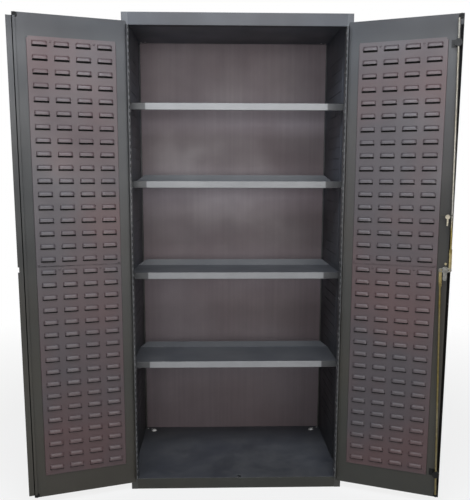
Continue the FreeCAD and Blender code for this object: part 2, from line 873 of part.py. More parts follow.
def door_panel(side, label):
    """Door sheet with its hinge flange and free-edge flange."""
    width = door_width(side)
    edge = "right_edge_depth" if side == RIGHT else "left_edge_depth"
    pieces = [
        door_block(side, label + "_face", FLANGE_NEAR, width, "-door_sheet", "0", DOOR_BASE, DOOR_TOP),
        door_block(
            side, label + "_hinge_flange", FLANGE_NEAR, FLANGE_NEAR + " + door_sheet",
            "-door_sheet", "hinge_flange_depth", FLANGE_BASE, FLANGE_TOP,
        ),
        door_block(
            side, label + "_edge_flange", width + " - door_sheet", width,
            "-door_sheet", edge, FLANGE_BASE, FLANGE_TOP,
        ),
    ]
    if side == LEFT:
        pieces.append(door_block(
            side, label + "_lip", width + " - left_lip_width", width,
            edge + " - door_sheet", edge, FLANGE_BASE, FLANGE_TOP,
        ))
        return door_node(label, side, joined(label + "_sheet", pieces))
    sheet = joined(label + "_sheet", pieces)
    holes = [turned_rod(
        label + "_spindle_hole", "spindle_radius + spindle_clearance", "2 * overrun + door_sheet",
        "-latch_across", "-overrun - door_sheet", "latch_height", "y",
    )]
    for name, sign in (("top", "+"), ("low", "-")):
        holes.append(turned_rod(
            "door_mount_hole_" + name, "mount_screw_radius", "2 * overrun + door_sheet",
            "-latch_across", "-overrun - door_sheet", "latch_height %s mount_screw_offset" % sign, "y",
        ))
    return door_node(label, side, cut(label + "_cut", sheet, group(label + "_holes", holes)))


def astragal():
    """Strip on the left door that laps behind the right door, notched for the latch spindle."""
    width = door_width(LEFT)
    outer = "(%s + astragal_overhang)" % width
    strip = door_block(
        LEFT, "astragal_strip", width + " - left_lip_width", outer,
        "left_edge_depth", "left_edge_depth + astragal_sheet", FLANGE_BASE, FLANGE_TOP,
    )
    notch = door_block(
        LEFT, "astragal_notch", outer + " - astragal_notch_depth", outer + " + overrun",
        "left_edge_depth - overrun", "left_edge_depth + overrun",
        "latch_height - astragal_notch_height / 2", "latch_height + astragal_notch_height / 2",
    )
    return door_node("left_astragal", LEFT, cut("astragal_cut", strip, notch))


def bumpers(side, label):
    """Rubber pads that meet the header and the sill."""
    pads = []
    across = "(%s - bumper_inset)" % door_width(side)
    x_text = "-" + across if side == RIGHT else across
    for name, height in (("top", DOOR_TOP + " - bumper_drop"), ("base", DOOR_BASE + " + bumper_drop")):
        pads.append(turned_rod(
            "%s_%s" % (label, name), "bumper_radius", "bumper_height", x_text, "0", height, "y"
        ))
    return door_node(label, side, group(label + "_pads", pads))


door_panel(LEFT, "left_door_panel")
door_panel(RIGHT, "right_door_panel")
astragal()
bumpers(LEFT, "left_bumpers")
bumpers(RIGHT, "right_bumpers")


# Louvred panels

def hood_profile(lift, height, front, behind, below):
    """Side view of a hood in the depth and height plane: a curved back down to an upright lip.

    The view goes on behind the panel's face and below the hood's foot by the last two amounts.
    """
    top = FreeCAD.Vector(0, 0, height)
    lip = FreeCAD.Vector(0, lift, front)
    middle_share = 0.5
    bulge_share = 0.72
    middle = FreeCAD.Vector(0, lift * bulge_share, front + (height - front) * middle_share)
    edges = [
        Part.Arc(top, middle, lip).toShape(),
        Part.LineSegment(lip, FreeCAD.Vector(0, lift, -below)).toShape(),
        Part.LineSegment(FreeCAD.Vector(0, lift, -below), FreeCAD.Vector(0, -behind, -below)).toShape(),
        Part.LineSegment(FreeCAD.Vector(0, -behind, -below), FreeCAD.Vector(0, -behind, height)).toShape(),
    ]
    if behind:
        edges.append(Part.LineSegment(FreeCAD.Vector(0, -behind, height), top).toShape())
    return Part.Face(Part.Wire(Part.__sortEdges__(edges)))


def hood_solids():
    """Outer hood and the hollow inside it, at the origin of one hood."""
    sheet = size("panel_sheet")
    lift = size("hood_lift")
    height = size("hood_height")
    front = size("hood_front_height")
    width = size("hood_width")
    outer = hood_profile(lift, height, front, 0, 0).extrude(FreeCAD.Vector(width, 0, 0))
    hollow = hood_profile(lift - sheet, height - 2 * sheet, front, 2 * sheet, size("hood_opening"))
    inner = hollow.extrude(FreeCAD.Vector(width - 2 * sheet, 0, 0))
    outer.translate(FreeCAD.Vector(-width / 2, 0, 0))
    inner.translate(FreeCAD.Vector(-width / 2 + sheet, 0, 0))
    return outer, inner


def louvre_panel(side, label, base):
    """Pan with rims against the door and rows of hoods open at the bottom."""
    sheet = size("panel_sheet")
    depth = size("panel_depth")
    near = size("panel_start")
    far = near + size("panel_width")
    top = base + size("panel_height") - size("panel_joint")
    pan = wide_box(side, near, far, 0, depth, base, top)
    hollow = wide_box(side, near + sheet, far - sheet, -sheet, depth - sheet, base + sheet, top - sheet)
    outer, inner = hood_solids()
    hoods = []
    holes = [hollow]
    for column in range(int(size("hood_columns"))):
        across = near + size("hood_first_column") + column * size("hood_column_pitch")
        for row in range(int(size("hood_rows"))):
            height = base + size("hood_first_row") + row * size("hood_row_pitch")
            shift = FreeCAD.Vector(-side * across, depth, height)
            hood = outer.copy()
            hood.translate(shift)
            hoods.append(hood)
            hole = inner.copy()
            hole.translate(shift)
            holes.append(hole)
    return door_node(label, side, shaped(label + "_shape", pan.fuse(hoods).cut(holes)))


def panel_screws(side, label):
    """Screws in the top edge and the lower hinge corner of each louvred panel."""
    near = size("panel_start")
    pitch = size("hood_column_pitch")
    first = near + size("hood_first_column") + pitch / 2
    bases = (size("panel_base"), size("panel_base") + size("panel_height"))
    screws = []
    for base in bases:
        top = base + size("panel_height") - size("panel_joint") - size("screw_edge_drop")
        places = [
            (first, top),
            (first + 2 * pitch, top),
            (near + size("screw_side_inset"), base + size("screw_edge_drop")),
            (near + size("panel_width") - size("screw_side_inset"), base + size("screw_edge_drop")),
        ]
        for across, height in places:
            start = FreeCAD.Vector(-side * across, size("panel_depth"), height)
            screws.append(Part.makeCylinder(
                size("screw_radius"), size("screw_height"), start, FreeCAD.Vector(0, 1, 0)
            ))
    return door_node(label, side, shaped(label + "_shape", Part.makeCompound(screws)))


for panel_side, side_name in ((LEFT, "left"), (RIGHT, "right")):
    louvre_panel(panel_side, side_name + "_lower_louvre_panel", size("panel_base"))
    louvre_panel(panel_side, side_name + "_upper_louvre_panel", size("panel_base") + size("panel_height"))
    panel_screws(panel_side, side_name + "_panel_screws")


# Latch: spindle, cam, dog and nut turn together with the handle

def lay_sketch(body, name, level):
    """Empty sketch in a plane parallel to the door, at a distance behind the pin."""
    sketch = body.newObject("Sketcher::SketchObject", name)
    sketch.AttachmentSupport = [(origin_plane(body, "XZ_Plane"), "")]
    sketch.MapMode = "FlatFace"
    bind(sketch, "AttachmentOffset.Base.z", "-(%s)" % level)
    return sketch


def add_circle(sketch, across, height, radius):
    """Circle with a bound centre and radius."""
    centre = FreeCAD.Vector(number(across), number(height), 0)
    index = sketch.addGeometry(Part.Circle(centre, FreeCAD.Vector(0, 0, 1), number(radius)))
    for kind, text in (("DistanceX", across), ("DistanceY", height)):
        row = sketch.addConstraint(Sketcher.Constraint(kind, -1, 1, index, 3, number(text)))
        bind(sketch, "Constraints[%d]" % row, text)
    row = sketch.addConstraint(Sketcher.Constraint("Radius", index, number(radius)))
    bind(sketch, "Constraints[%d]" % row, radius)


def add_rectangle(sketch, low, high, base, top):
    """Rectangle with bound corners."""
    points = [(low, base), (high, base), (high, top), (low, top)]
    corners = [FreeCAD.Vector(number(first), number(second), 0) for first, second in points]
    start = sketch.GeometryCount
    for index in range(4):
        sketch.addGeometry(Part.LineSegment(corners[index], corners[(index + 1) % 4]))
    for index in range(4):
        following = start + (index + 1) % 4
        sketch.addConstraint(Sketcher.Constraint("Coincident", start + index, 2, following, 1))
    for index, (first, second) in enumerate(points):
        for kind, text, value in (
            ("DistanceX", first, corners[index].x), ("DistanceY", second, corners[index].y)
        ):
            row = sketch.addConstraint(Sketcher.Constraint(kind, -1, 1, start + index, 1, value))
            bind(sketch, "Constraints[%d]" % row, text)


def pad(body, name, sketch, thickness):
    """Pad a sketch inwards from the door."""
    item = body.newObject("PartDesign::Pad", name)
    item.Profile = sketch
    item.Reversed = True
    bind(item, "Length", thickness)
    return item


def pocket(body, name, sketch):
    """Cut a sketch right through in both directions."""
    item = body.newObject("PartDesign::Pocket", name)
    item.Profile = sketch
    item.Type = "ThroughAll"
    item.Midplane = True
    return item


def cam():
    """Plate with two lobes, each with a radial slot for a rod's pin, on the square of the spindle."""
    body = DOC.addObject("PartDesign::Body", "cam_body")
    centre = "(-latch_across)"
    hub = lay_sketch(body, "cam_hub", "cam_front")
    add_circle(hub, centre, "latch_height", "cam_hub_radius")
    pad(body, "cam_hub_pad", hub, "cam_thickness")
    for name, sign in (("inner", "+"), ("outer", "-")):
        lobe = lay_sketch(body, "cam_%s_lobe" % name, "cam_front")
        add_circle(lobe, "%s %s cam_lobe_reach" % (centre, sign), "latch_height", "cam_lobe_radius")
        pad(body, "cam_%s_lobe_pad" % name, lobe, "cam_thickness")
    arm = lay_sketch(body, "cam_arm", "cam_front")
    add_rectangle(
        arm, centre + " - cam_lobe_reach", centre + " + cam_lobe_reach",
        "latch_height - cam_lobe_radius", "latch_height + cam_lobe_radius",
    )
    pad(body, "cam_arm_pad", arm, "cam_thickness")
    half = "(link_pin_radius + link_pin_room)"
    slots = lay_sketch(body, "cam_slots", "cam_front")
    square = "square_half"
    add_rectangle(
        slots, centre + " - " + square, centre + " + " + square,
        "latch_height - " + square, "latch_height + " + square,
    )
    for low, high in (
        ("- crank_radius - " + half, "- crank_inner + link_pin_radius"),
        ("+ crank_inner - link_pin_radius", "+ crank_radius + " + half),
    ):
        add_rectangle(
            slots, "%s %s" % (centre, low), "%s %s" % (centre, high),
            "latch_height - " + half, "latch_height + " + half,
        )
    pocket(body, "cam_slot_pocket", slots)
    return door_node("latch_cam", RIGHT, body)


def dog():
    """Tongue that hangs from the spindle and swings behind the strip of the left door."""
    body = DOC.addObject("PartDesign::Body", "dog_body")
    centre = "(-latch_across)"
    level = "cam_front + cam_thickness"
    hub = lay_sketch(body, "dog_hub", level)
    add_circle(hub, centre, "latch_height", "dog_half_width + washer_thickness")
    pad(body, "dog_hub_pad", hub, "cam_thickness")
    tip = lay_sketch(body, "dog_tip", level)
    add_circle(tip, centre, "latch_height - dog_length", "dog_half_width")
    pad(body, "dog_tip_pad", tip, "cam_thickness")
    arm = lay_sketch(body, "dog_arm", level)
    add_rectangle(
        arm, centre + " - dog_half_width", centre + " + dog_half_width",
        "latch_height - dog_length", "latch_height",
    )
    pad(body, "dog_arm_pad", arm, "cam_thickness")
    square = "square_half"
    hole = lay_sketch(body, "dog_square", level)
    add_rectangle(
        hole, centre + " - " + square, centre + " + " + square,
        "latch_height - " + square, "latch_height + " + square,
    )
    pocket(body, "dog_square_pocket", hole)
    return door_node("latch_dog", RIGHT, body)


def spindle():
    """Round shaft through the door with a square end for the cam and the dog."""
    shaft = turned_rod(
        "spindle_shaft", "spindle_radius", "cam_front + door_sheet + base_depth + handle_gap",
        "-latch_across", "-door_sheet - base_depth - handle_gap", "latch_height", "y",
    )
    square = block(
        "spindle_square", ("-latch_across - square_half", "-latch_across + square_half"),
        ("cam_front", "cam_front + 2 * cam_thickness"),
        ("latch_height - square_half", "latch_height + square_half"),
    )
    return door_node("latch_spindle", RIGHT, joined("spindle_body", [shaft, square]))


def spindle_nut():
    """Nut and washer on the end of the spindle."""
    level = "cam_front + 2 * cam_thickness"
    washer = turned_rod(
        "spindle_washer", "nut_radius", "washer_thickness", "-latch_across", level, "latch_height", "y"
    )
    nut = DOC.addObject("Part::Prism", "spindle_nut_hex")
    bind(nut, "Circumradius", "nut_radius - washer_thickness")
    bind(nut, "Height", "nut_height")
    nut.Placement.Rotation = FreeCAD.Rotation(FreeCAD.Vector(1, 0, 0), -90)
    place(nut, "-latch_across", level + " + washer_thickness", "latch_height")
    return door_node("spindle_nut", RIGHT, joined("spindle_nut_body", [washer, nut]))


cam()
dog()
spindle()
spindle_nut()


# Rod guides: a painted bracket, a round housing and a swivelling ball with a hole for the rod

def guide_tilt(guide):
    """Rest tilt of a rod in degrees, from its guide to its pin on the cam."""
    guide_across, guide_height, sign = guide
    pin_across = size("latch_across") + sign * size("crank_radius")
    return math.degrees(math.atan((guide_across - pin_across) / (guide_height - size("latch_height"))))


def guide_point(guide):
    """Centre of a guide's ball on the door."""
    return FreeCAD.Vector(-guide[0], size("rod_depth"), guide[1])


def guide_bracket(label, guide):
    """Foot on the door, a riser, an arm over the strip and the round housing, as one piece."""
    centre = guide_point(guide)
    half = size("guide_radius")
    sheet = size("guide_sheet")
    riser = size("guide_riser_across")
    base = guide[1] - half
    top = guide[1] + half
    arm_top = size("guide_front") + sheet
    foot = wide_box(RIGHT, riser - size("guide_foot_width"), riser, 0, sheet, base, top)
    wall = wide_box(RIGHT, riser - sheet, riser, 0, arm_top, base, top)
    arm = wide_box(RIGHT, riser - sheet, guide[0], size("guide_front"), arm_top, base, top)
    inward = FreeCAD.Vector(0, 1, 0)
    start = FreeCAD.Vector(centre.x, size("guide_front"), centre.z)
    housing = Part.makeCylinder(half, size("guide_height") + sheet, start, inward)
    pocket_radius = size("ball_radius") + size("fit_clearance")
    pocket_height = size("ball_height") + 2 * size("ball_side_room")
    pocket_start = FreeCAD.Vector(centre.x, centre.y - pocket_height / 2, centre.z)
    hollow = Part.makeCylinder(pocket_radius, pocket_height, pocket_start, inward)
    wide = size("rod_radius") + size("guide_slot_room")
    slot = Part.makeBox(
        2 * wide, 2 * wide, 2 * half + 2 * size("overrun"),
        centre - FreeCAD.Vector(wide, wide, half + size("overrun")),
    )
    shape = foot.fuse([wall, arm, housing]).removeSplitter().cut([hollow, slot])
    return door_node(label, RIGHT, shaped(label + "_shape", shape))


def tilted(guide, shape):
    """Shape drawn about the guide point with the rod upright, leaned to the rod's rest tilt."""
    turn = FreeCAD.Rotation(FreeCAD.Vector(0, 1, 0), -guide_tilt(guide))
    shape.Placement = FreeCAD.Placement(guide_point(guide), turn).multiply(shape.Placement)
    return shape


def guide_ball(label, guide):
    """Short drum in the housing with the rod's hole through it."""
    start = FreeCAD.Vector(0, -size("ball_height") / 2, 0)
    drum = Part.makeCylinder(size("ball_radius"), size("ball_height"), start, FreeCAD.Vector(0, 1, 0))
    reach = size("ball_radius") + size("overrun")
    bore = size("rod_radius") + size("fit_clearance")
    hole = Part.makeCylinder(bore, 2 * reach, FreeCAD.Vector(0, 0, -reach))
    return door_node(label, RIGHT, shaped(label + "_shape", tilted(guide, drum.cut(hole))))


def pin_distance(guide):
    """Distance from a guide to its rod's pin at rest, positive upwards."""
    guide_across, guide_height, sign = guide
    pin_across = size("latch_across") + sign * size("crank_radius")
    length = math.hypot(guide_across - pin_across, guide_height - size("latch_height"))
    return -sign * length


def latch_rod(label, guide, far_end, link_length):
    """Round rod with a flat end that lies behind the cam."""
    sign = guide[2]
    pin_height = pin_distance(guide)
    join = pin_height + sign * (link_length - size("link_lap"))
    low, high = sorted((join, far_end - guide[1]))
    rod = Part.makeCylinder(size("rod_radius"), high - low, FreeCAD.Vector(0, 0, low))
    half = size("link_width") / 2
    level = size("link_front") - size("rod_depth")
    low, high = sorted((pin_height, pin_height + sign * link_length))
    flat = Part.makeBox(
        size("link_width"), size("link_thickness"), high - low, FreeCAD.Vector(-half, level, low)
    )
    inward = FreeCAD.Vector(0, 1, 0)
    end = Part.makeCylinder(half, size("link_thickness"), FreeCAD.Vector(0, level, pin_height), inward)
    hole = Part.makeCylinder(
        size("link_pin_radius"), 2 * size("overrun"), FreeCAD.Vector(0, level - size("overrun"), pin_height),
        inward,
    )
    shape = rod.fuse([flat, end]).removeSplitter().cut(hole)
    return door_node(label, RIGHT, shaped(label + "_shape", tilted(guide, shape)))


def link_pin(label, guide):
    """Headed pin from a rod's flat end through its slot in the cam."""
    pin_height = pin_distance(guide)
    level = size("link_front") - size("rod_depth")
    reach = size("cam_front") - size("link_front") + size("cam_thickness") + 2 * size("handle_gap")
    inward = FreeCAD.Vector(0, 1, 0)
    shank = Part.makeCylinder(
        size("link_pin_radius"), reach, FreeCAD.Vector(0, level, pin_height), inward
    )
    return door_node(label, RIGHT, shaped(label + "_shape", tilted(guide, shank)))


UPPER_END = size("cabinet_height") - size("header_height") - size("rod_end_gap")
LOWER_END = size("sill_height") + size("rod_end_gap")
guide_bracket("upper_guide_bracket", UPPER_GUIDE)
guide_bracket("lower_guide_bracket", LOWER_GUIDE)
guide_ball("upper_guide_ball", UPPER_GUIDE)
guide_ball("lower_guide_ball", LOWER_GUIDE)
latch_rod("upper_rod", UPPER_GUIDE, UPPER_END, size("upper_link_length"))
latch_rod("lower_rod", LOWER_GUIDE, LOWER_END, size("lower_link_length"))
link_pin("upper_link_pin", UPPER_GUIDE)
link_pin("lower_link_pin", LOWER_GUIDE)


# Keys tied to the upper rod

def rod_across_at(height):
    """X on the door of the upper rod's axis at a height."""
    tilt = math.radians(guide_tilt(UPPER_GUIDE))
    return -(UPPER_GUIDE[0] + math.tan(tilt) * (height - UPPER_GUIDE[1]))


def key_tie():
    """Band round the upper rod with a tail that points to the hinge."""
    inner = size("rod_radius") + size("fit_clearance")
    outer = inner + size("tie_thickness")
    across = rod_across_at(size("tie_height"))
    base = FreeCAD.Vector(across, size("rod_depth"), size("tie_height"))
    band = Part.makeCylinder(outer, size("tie_band"), base)
    half = size("tie_thickness") / 2
    tail = Part.makeBox(
        size("tie_tail"), size("tie_thickness"), size("tie_band"), base - FreeCAD.Vector(0, half, 0)
    )
    hole = Part.makeCylinder(inner, size("tie_band") + 2 * size("overrun"),
                             base - FreeCAD.Vector(0, 0, size("overrun")))
    return door_node("key_tie", RIGHT, shaped("key_tie_shape", band.fuse(tail).removeSplitter().cut(hole)))


def keys():
    """Two flat keys that hang from the tie's tail."""
    across = rod_across_at(size("tie_height")) + size("key_offset")
    top = size("tie_height") + size("tie_band") + size("tie_thickness")
    blanks = []
    for index in (0, 1):
        offset = (2 * index - 1) * (size("tie_thickness") + size("key_thickness")) / 2
        depth = size("rod_depth") + offset - size("key_thickness") / 2
        centre = FreeCAD.Vector(across, depth, top - size("key_bow_radius"))
        inward = FreeCAD.Vector(0, 1, 0)
        bow = Part.makeCylinder(size("key_bow_radius"), size("key_thickness"), centre, inward)
        blade = Part.makeBox(
            2 * size("key_blade_half"), size("key_thickness"), size("key_blade_length") + size("key_bow_radius"),
            centre - FreeCAD.Vector(
                size("key_blade_half"), 0, size("key_blade_length") + size("key_bow_radius")
            ),
        )
        blanks.append(bow.fuse(blade).removeSplitter())
    return door_node("keys", RIGHT, shaped("keys_shape", Part.makeCompound(blanks)))


key_tie()
keys()


# Handle and lock on the outside of the right door

BASE_FRONT = "(-door_sheet - base_depth)"
HUB_FRONT = "(-door_sheet - base_depth - handle_gap - hub_depth)"


def handle_base():
    """Housing screwed to the door, with the spindle's bore."""
    half = "base_width / 2"
    plate = block(
        "handle_base_block", ("-latch_across - " + half, "-latch_across + " + half),
        (BASE_FRONT, "-door_sheet"),
        ("latch_height - base_height / 2", "latch_height + base_height / 2"),
    )
    soft = DOC.addObject("Part::Fillet", "handle_base_soft")
    soft.Base = plate
    DOC.recompute()
    radius = size("base_depth") / 2
    upright = []
    for index, edge in enumerate(plate.Shape.Edges, start=1):
        ends = [vertex.Point for vertex in edge.Vertexes]
        if abs(ends[0].y - ends[1].y) > size("skin"):
            upright.append((index, radius, radius))
    soft.Edges = upright
    bore = turned_rod(
        "handle_base_bore", "spindle_radius + spindle_clearance", "base_depth + 2 * overrun",
        "-latch_across", BASE_FRONT + " - overrun", "latch_height", "y",
    )
    screws = [bore]
    for name, sign in (("top", "+"), ("low", "-")):
        screws.append(turned_rod(
            "mount_hole_" + name, "mount_screw_radius", "base_depth + overrun",
            "-latch_across", "-door_sheet - base_depth / 2",
            "latch_height %s mount_screw_offset" % sign, "y",
        ))
    return door_node(
        "handle_base", RIGHT, cut("handle_base_cut", soft, group("handle_base_holes", screws))
    )


def handle_screws():
    """Screws from the housing through the door, each with its nut inside."""
    screws = []
    for name, sign in (("top", "+"), ("low", "-")):
        height = "latch_height %s mount_screw_offset" % sign
        shank = turned_rod(
            "mount_shank_" + name, "mount_screw_radius", "base_depth / 2 + door_sheet + mount_nut_height",
            "-latch_across", "-door_sheet - base_depth / 2", height, "y",
        )
        nut = turned_rod(
            "mount_nut_" + name, "mount_nut_radius", "mount_nut_height", "-latch_across", "0", height, "y"
        )
        screws.append(joined("mount_screw_" + name, [shank, nut]))
    return door_node("handle_screws", RIGHT, group("handle_screw_set", screws))


def handle_grip():
    """Hub with a lever that points to the hinge when the doors are free."""
    body = DOC.addObject("PartDesign::Body", "grip_body")
    centre = "(-latch_across)"
    hub = lay_sketch(body, "grip_hub", HUB_FRONT)
    add_circle(hub, centre, "latch_height", "hub_radius")
    pad(body, "grip_hub_pad", hub, "hub_depth")
    arm = lay_sketch(body, "grip_arm", HUB_FRONT)
    add_rectangle(
        arm, centre, centre + " + grip_length - grip_radius",
        "latch_height - grip_radius", "latch_height + grip_radius",
    )
    pad(body, "grip_arm_pad", arm, "grip_depth")
    tip = lay_sketch(body, "grip_tip", HUB_FRONT)
    add_circle(tip, centre + " + grip_length - grip_radius", "latch_height", "grip_radius")
    pad(body, "grip_tip_pad", tip, "grip_depth")
    bore = lay_sketch(body, "grip_bore", HUB_FRONT)
    add_circle(bore, centre, "latch_height", "lock_radius + fit_clearance")
    hole = body.newObject("PartDesign::Pocket", "grip_bore_pocket")
    hole.Profile = bore
    hole.Type = "Length"
    bind(hole, "Length", "lock_depth")
    return door_node("handle_grip", RIGHT, body)


def lock_cylinder():
    """Plug of the lock in the hub, with its key slot."""
    plug = turned_rod(
        "lock_plug", "lock_radius", "lock_depth + lock_proud - handle_gap",
        "-latch_across", HUB_FRONT + " - lock_proud", "latch_height", "y",
    )
    slot = block(
        "lock_slot", ("-latch_across - key_slot_width / 2", "-latch_across + key_slot_width / 2"),
        (HUB_FRONT + " - lock_proud - overrun", HUB_FRONT + " - lock_proud + key_slot_depth"),
        ("latch_height - key_slot_length / 2", "latch_height + key_slot_length / 2"),
    )
    return door_node("lock_cylinder", RIGHT, cut("lock_cut", plug, slot))


handle_base()
handle_screws()
handle_grip()
lock_cylinder()


# Clear up, check every object and write each sub-part

PROBE = DOC.getObject("Probe")
if PROBE is not None:
    DOC.removeObject(PROBE.Name)
DOC.recompute()

for item in DOC.Objects:
    if "Invalid" in item.State or "Error" in item.State:
        raise RuntimeError("%s did not compute: %s" % (item.Label, item.State))
for item in NODES:
    if item.Shape.isNull() or not item.Shape.isValid():
        raise RuntimeError("%s has no valid shape" % item.Label)

os.makedirs("parts", exist_ok=True)
for item in NODES:
    item.Shape.exportStep("parts/%s.step" % item.Label)
    print("%-28s %3d solids  volume %.0f" % (item.Label, len(item.Shape.Solids), item.Shape.Volume))
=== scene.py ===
import math
from functools import partialmethod

import bmesh
import bpy
from bpy.props import FloatProperty, FloatVectorProperty, IntProperty, PointerProperty
from mathutils import Matrix, Vector


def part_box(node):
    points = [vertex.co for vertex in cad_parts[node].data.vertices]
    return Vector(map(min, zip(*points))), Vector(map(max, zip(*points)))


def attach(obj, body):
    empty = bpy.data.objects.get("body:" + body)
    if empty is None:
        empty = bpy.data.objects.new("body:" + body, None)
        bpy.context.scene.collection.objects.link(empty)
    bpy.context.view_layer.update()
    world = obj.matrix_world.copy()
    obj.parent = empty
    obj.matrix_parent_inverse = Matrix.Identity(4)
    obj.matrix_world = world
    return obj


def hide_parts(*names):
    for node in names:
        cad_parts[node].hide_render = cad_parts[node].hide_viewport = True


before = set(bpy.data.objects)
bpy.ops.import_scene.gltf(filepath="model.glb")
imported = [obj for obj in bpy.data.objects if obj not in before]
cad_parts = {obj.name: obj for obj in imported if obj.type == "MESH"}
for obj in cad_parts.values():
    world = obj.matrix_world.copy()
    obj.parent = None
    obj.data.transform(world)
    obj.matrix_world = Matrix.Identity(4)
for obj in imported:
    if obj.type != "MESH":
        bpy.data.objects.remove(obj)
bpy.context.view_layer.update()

bl_info = {
    "name": "Louvred storage cabinet",
    "version": (1, 0, 0),
    "blender": (4, 5, 0),
    "location": "View3D > Sidebar > Cabinet",
    "description": "Visible pieces of a steel storage cabinet with two louvred doors",
    "category": "Object",
}

LEFT = -1
RIGHT = 1
OPEN_ANGLE = {LEFT: 161.6, RIGHT: 157.1}
DOOR_WIDTH = {LEFT: 0.4285, RIGHT: 0.4325}
PIN_ACROSS = 0.433
PIN_DEPTH = -0.3095
SIDE_NAME = {LEFT: "left", RIGHT: "right"}
MM = 0.001

# Sheets: points closer than the weld are one, faces that bend less than the flat angle are one,
# and a fold is a bend of at least this length between faces that reach at least this far
WELD = 2e-6
FLAT_ANGLE = 0.7
SHARP_ANGLE = 50
FOLD_LENGTH = 0.03
FOLD_REACH = 0.004
CELL_WELD = 0.00005

# Carcass: half of its footprint, the uppermost slot, the inner face of the walls
FOOTPRINT = (0.456, 0.304)
SLOT_TOP = 1.853
WALL_FACE = 0.453
WALL_NEAR = 0.44
STRIP_SHEET = 0.0012

# Hinges: the reveal that carries the frame leaf, front and rear edge of that leaf, its uppermost rivet
REVEAL = 0.4285
LEAF_FRONT = -0.3075
LEAF_REAR = -0.2835
LEAF_SHEET = 0.0015
DOOR_LEAF = ((4.7, 25.7), (4.7, 2.2), (6.3, 2.2), (6.3, 25.7))
KNUCKLE_RADIUS = 0.004
KNUCKLE_GAP = 0.0003
RIVET_TOP = (0.4284, -0.295, 1.910)

# Louvred panels, measured from the pin, from the door sheet and from the floor
PANEL_NEAR = 0.047
PANEL_FAR = 0.3805
PANEL_FACE = 0.006
PANEL_TALL = 0.8647
PANEL_BASE = {"lower": 0.1275, "upper": 0.9925}
PANEL_PITCH = 0.865
FIRST_COLUMN = 0.0438
FIRST_ROW = 0.0265

# Screws of the panels in millimetres: distance from the pin, height, distance to the next
SCREW_PAIRS = ((131.35, 981.7, 162.2), (55.0, 138.0, 317.5))

# Doors: heights of the bumpers in millimetres, and how much gloss is lost at hand height
BUMPER_HEIGHTS = (1936.4, 43.9)
HAND_DULL = {LEFT: 0.38, RIGHT: 0.55}

# View: place, turn in degrees, focal length and middle in pixels of a picture 470 x 500
VIEW_PLACE = (-0.09813, -2.99319, 1.34106)
VIEW_TURN = (9.17, 1.54, 0.11)
VIEW_FOCAL = 653.44
VIEW_MIDDLE = (230.95, 283.87)
VIEW_WIDE = 470
VIEW_TALL = 500
SENSOR = 36


# Settings shown in the sidebar

def colour_setting(name, description, default):
    return FloatVectorProperty(
        name=name, description=description, subtype="COLOR", size=3, min=0, max=1, default=default
    )


def length_setting(name, description, default):
    return FloatProperty(
        name=name, description=description, subtype="DISTANCE", unit="LENGTH", default=default, min=0
    )


def number_setting(name, description, default, low=0):
    return FloatProperty(name=name, description=description, default=default, min=low)


def count_setting(name, description, default, low=1):
    return IntProperty(name=name, description=description, default=default, min=low)


class CABINET_PG_finish(bpy.types.PropertyGroup):
    """Colours of the painted sheets and the fittings"""

    paint: colour_setting("Paint", "Grey paint of the carcass and the doors", (0.030, 0.031, 0.032))
    paint_warm: colour_setting("Warm drift", "Second tone of the grey paint", (0.037, 0.032, 0.028))
    door: colour_setting("Door paint", "Grey paint of the doors", (0.023, 0.023, 0.022))
    door_warm: colour_setting("Door drift", "Second tone of the door paint", (0.030, 0.026, 0.022))
    panel: colour_setting("Louvred panel paint", "Paint of the louvred panels", (0.045, 0.037, 0.042))
    panel_warm: colour_setting("Panel drift", "Second tone of the panel paint", (0.064, 0.035, 0.036))
    back: colour_setting("Back sheet paint", "Paint of the inside of the back", (0.128, 0.104, 0.116))
    shelf: colour_setting("Shelf paint", "Paint of the shelves", (0.060, 0.063, 0.070))
    shelf_lip: colour_setting("Shelf front paint", "Paint on the shelf fronts", (0.20, 0.20, 0.205))
    floor_sheet: colour_setting("Floor sheet paint", "Paint of the floor inside", (0.044, 0.048, 0.060))
    wear: colour_setting("Worn edge", "Tone where the paint is rubbed at the edges", (0.20, 0.20, 0.21))
    zinc: colour_setting("Zinc", "Plated steel of the rods", (0.26, 0.25, 0.23))
    zinc_yellow: colour_setting("Yellow passivation", "Yellow tinge of the plating", (0.20, 0.150, 0.035))
    latch: colour_setting("Latch steel", "Dull steel of the cam and the dog", (0.16, 0.16, 0.155))
    guide: colour_setting("Guide", "Black plastic of the rod guides", (0.004, 0.004, 0.004))
    rubber: colour_setting("Rubber", "Bumpers", (0.005, 0.005, 0.005))
    chrome: colour_setting("Chrome", "Handle", (0.70, 0.70, 0.72))
    key: colour_setting("Key metal", "Keys", (0.20, 0.18, 0.14))
    rivet: colour_setting("Rivet", "Rivet heads and bolts", (0.80, 0.80, 0.79))
    tie: colour_setting("Tie", "Plastic tie that holds the keys", (0.030, 0.028, 0.022))


class CABINET_PG_louvres(bpy.types.PropertyGroup):
    """Sizes of the louvred panels"""

    columns: count_setting("Columns", "Louvres side by side", 4)
    rows: count_setting("Rows", "Louvres above each other in one panel", 17)
    column_pitch: length_setting("Column pitch", "Distance between columns", 0.0811)
    row_pitch: length_setting("Row pitch", "Distance between rows", 0.865 / 17)
    width: length_setting("Louvre width", "Width of one louvre", 0.057)
    height: length_setting("Louvre height", "Height of one louvre above its opening", 0.016)
    opening: length_setting("Opening", "Height of the opening under the lip", 0.0065)
    lift: length_setting("Lift", "How far the lip stands out of the panel", 0.0085)
    corner: number_setting("Corner", "Squareness of the upper corners", 14.0, 2)
    sheet: length_setting("Sheet", "Thickness of the panel sheet", 0.0012)


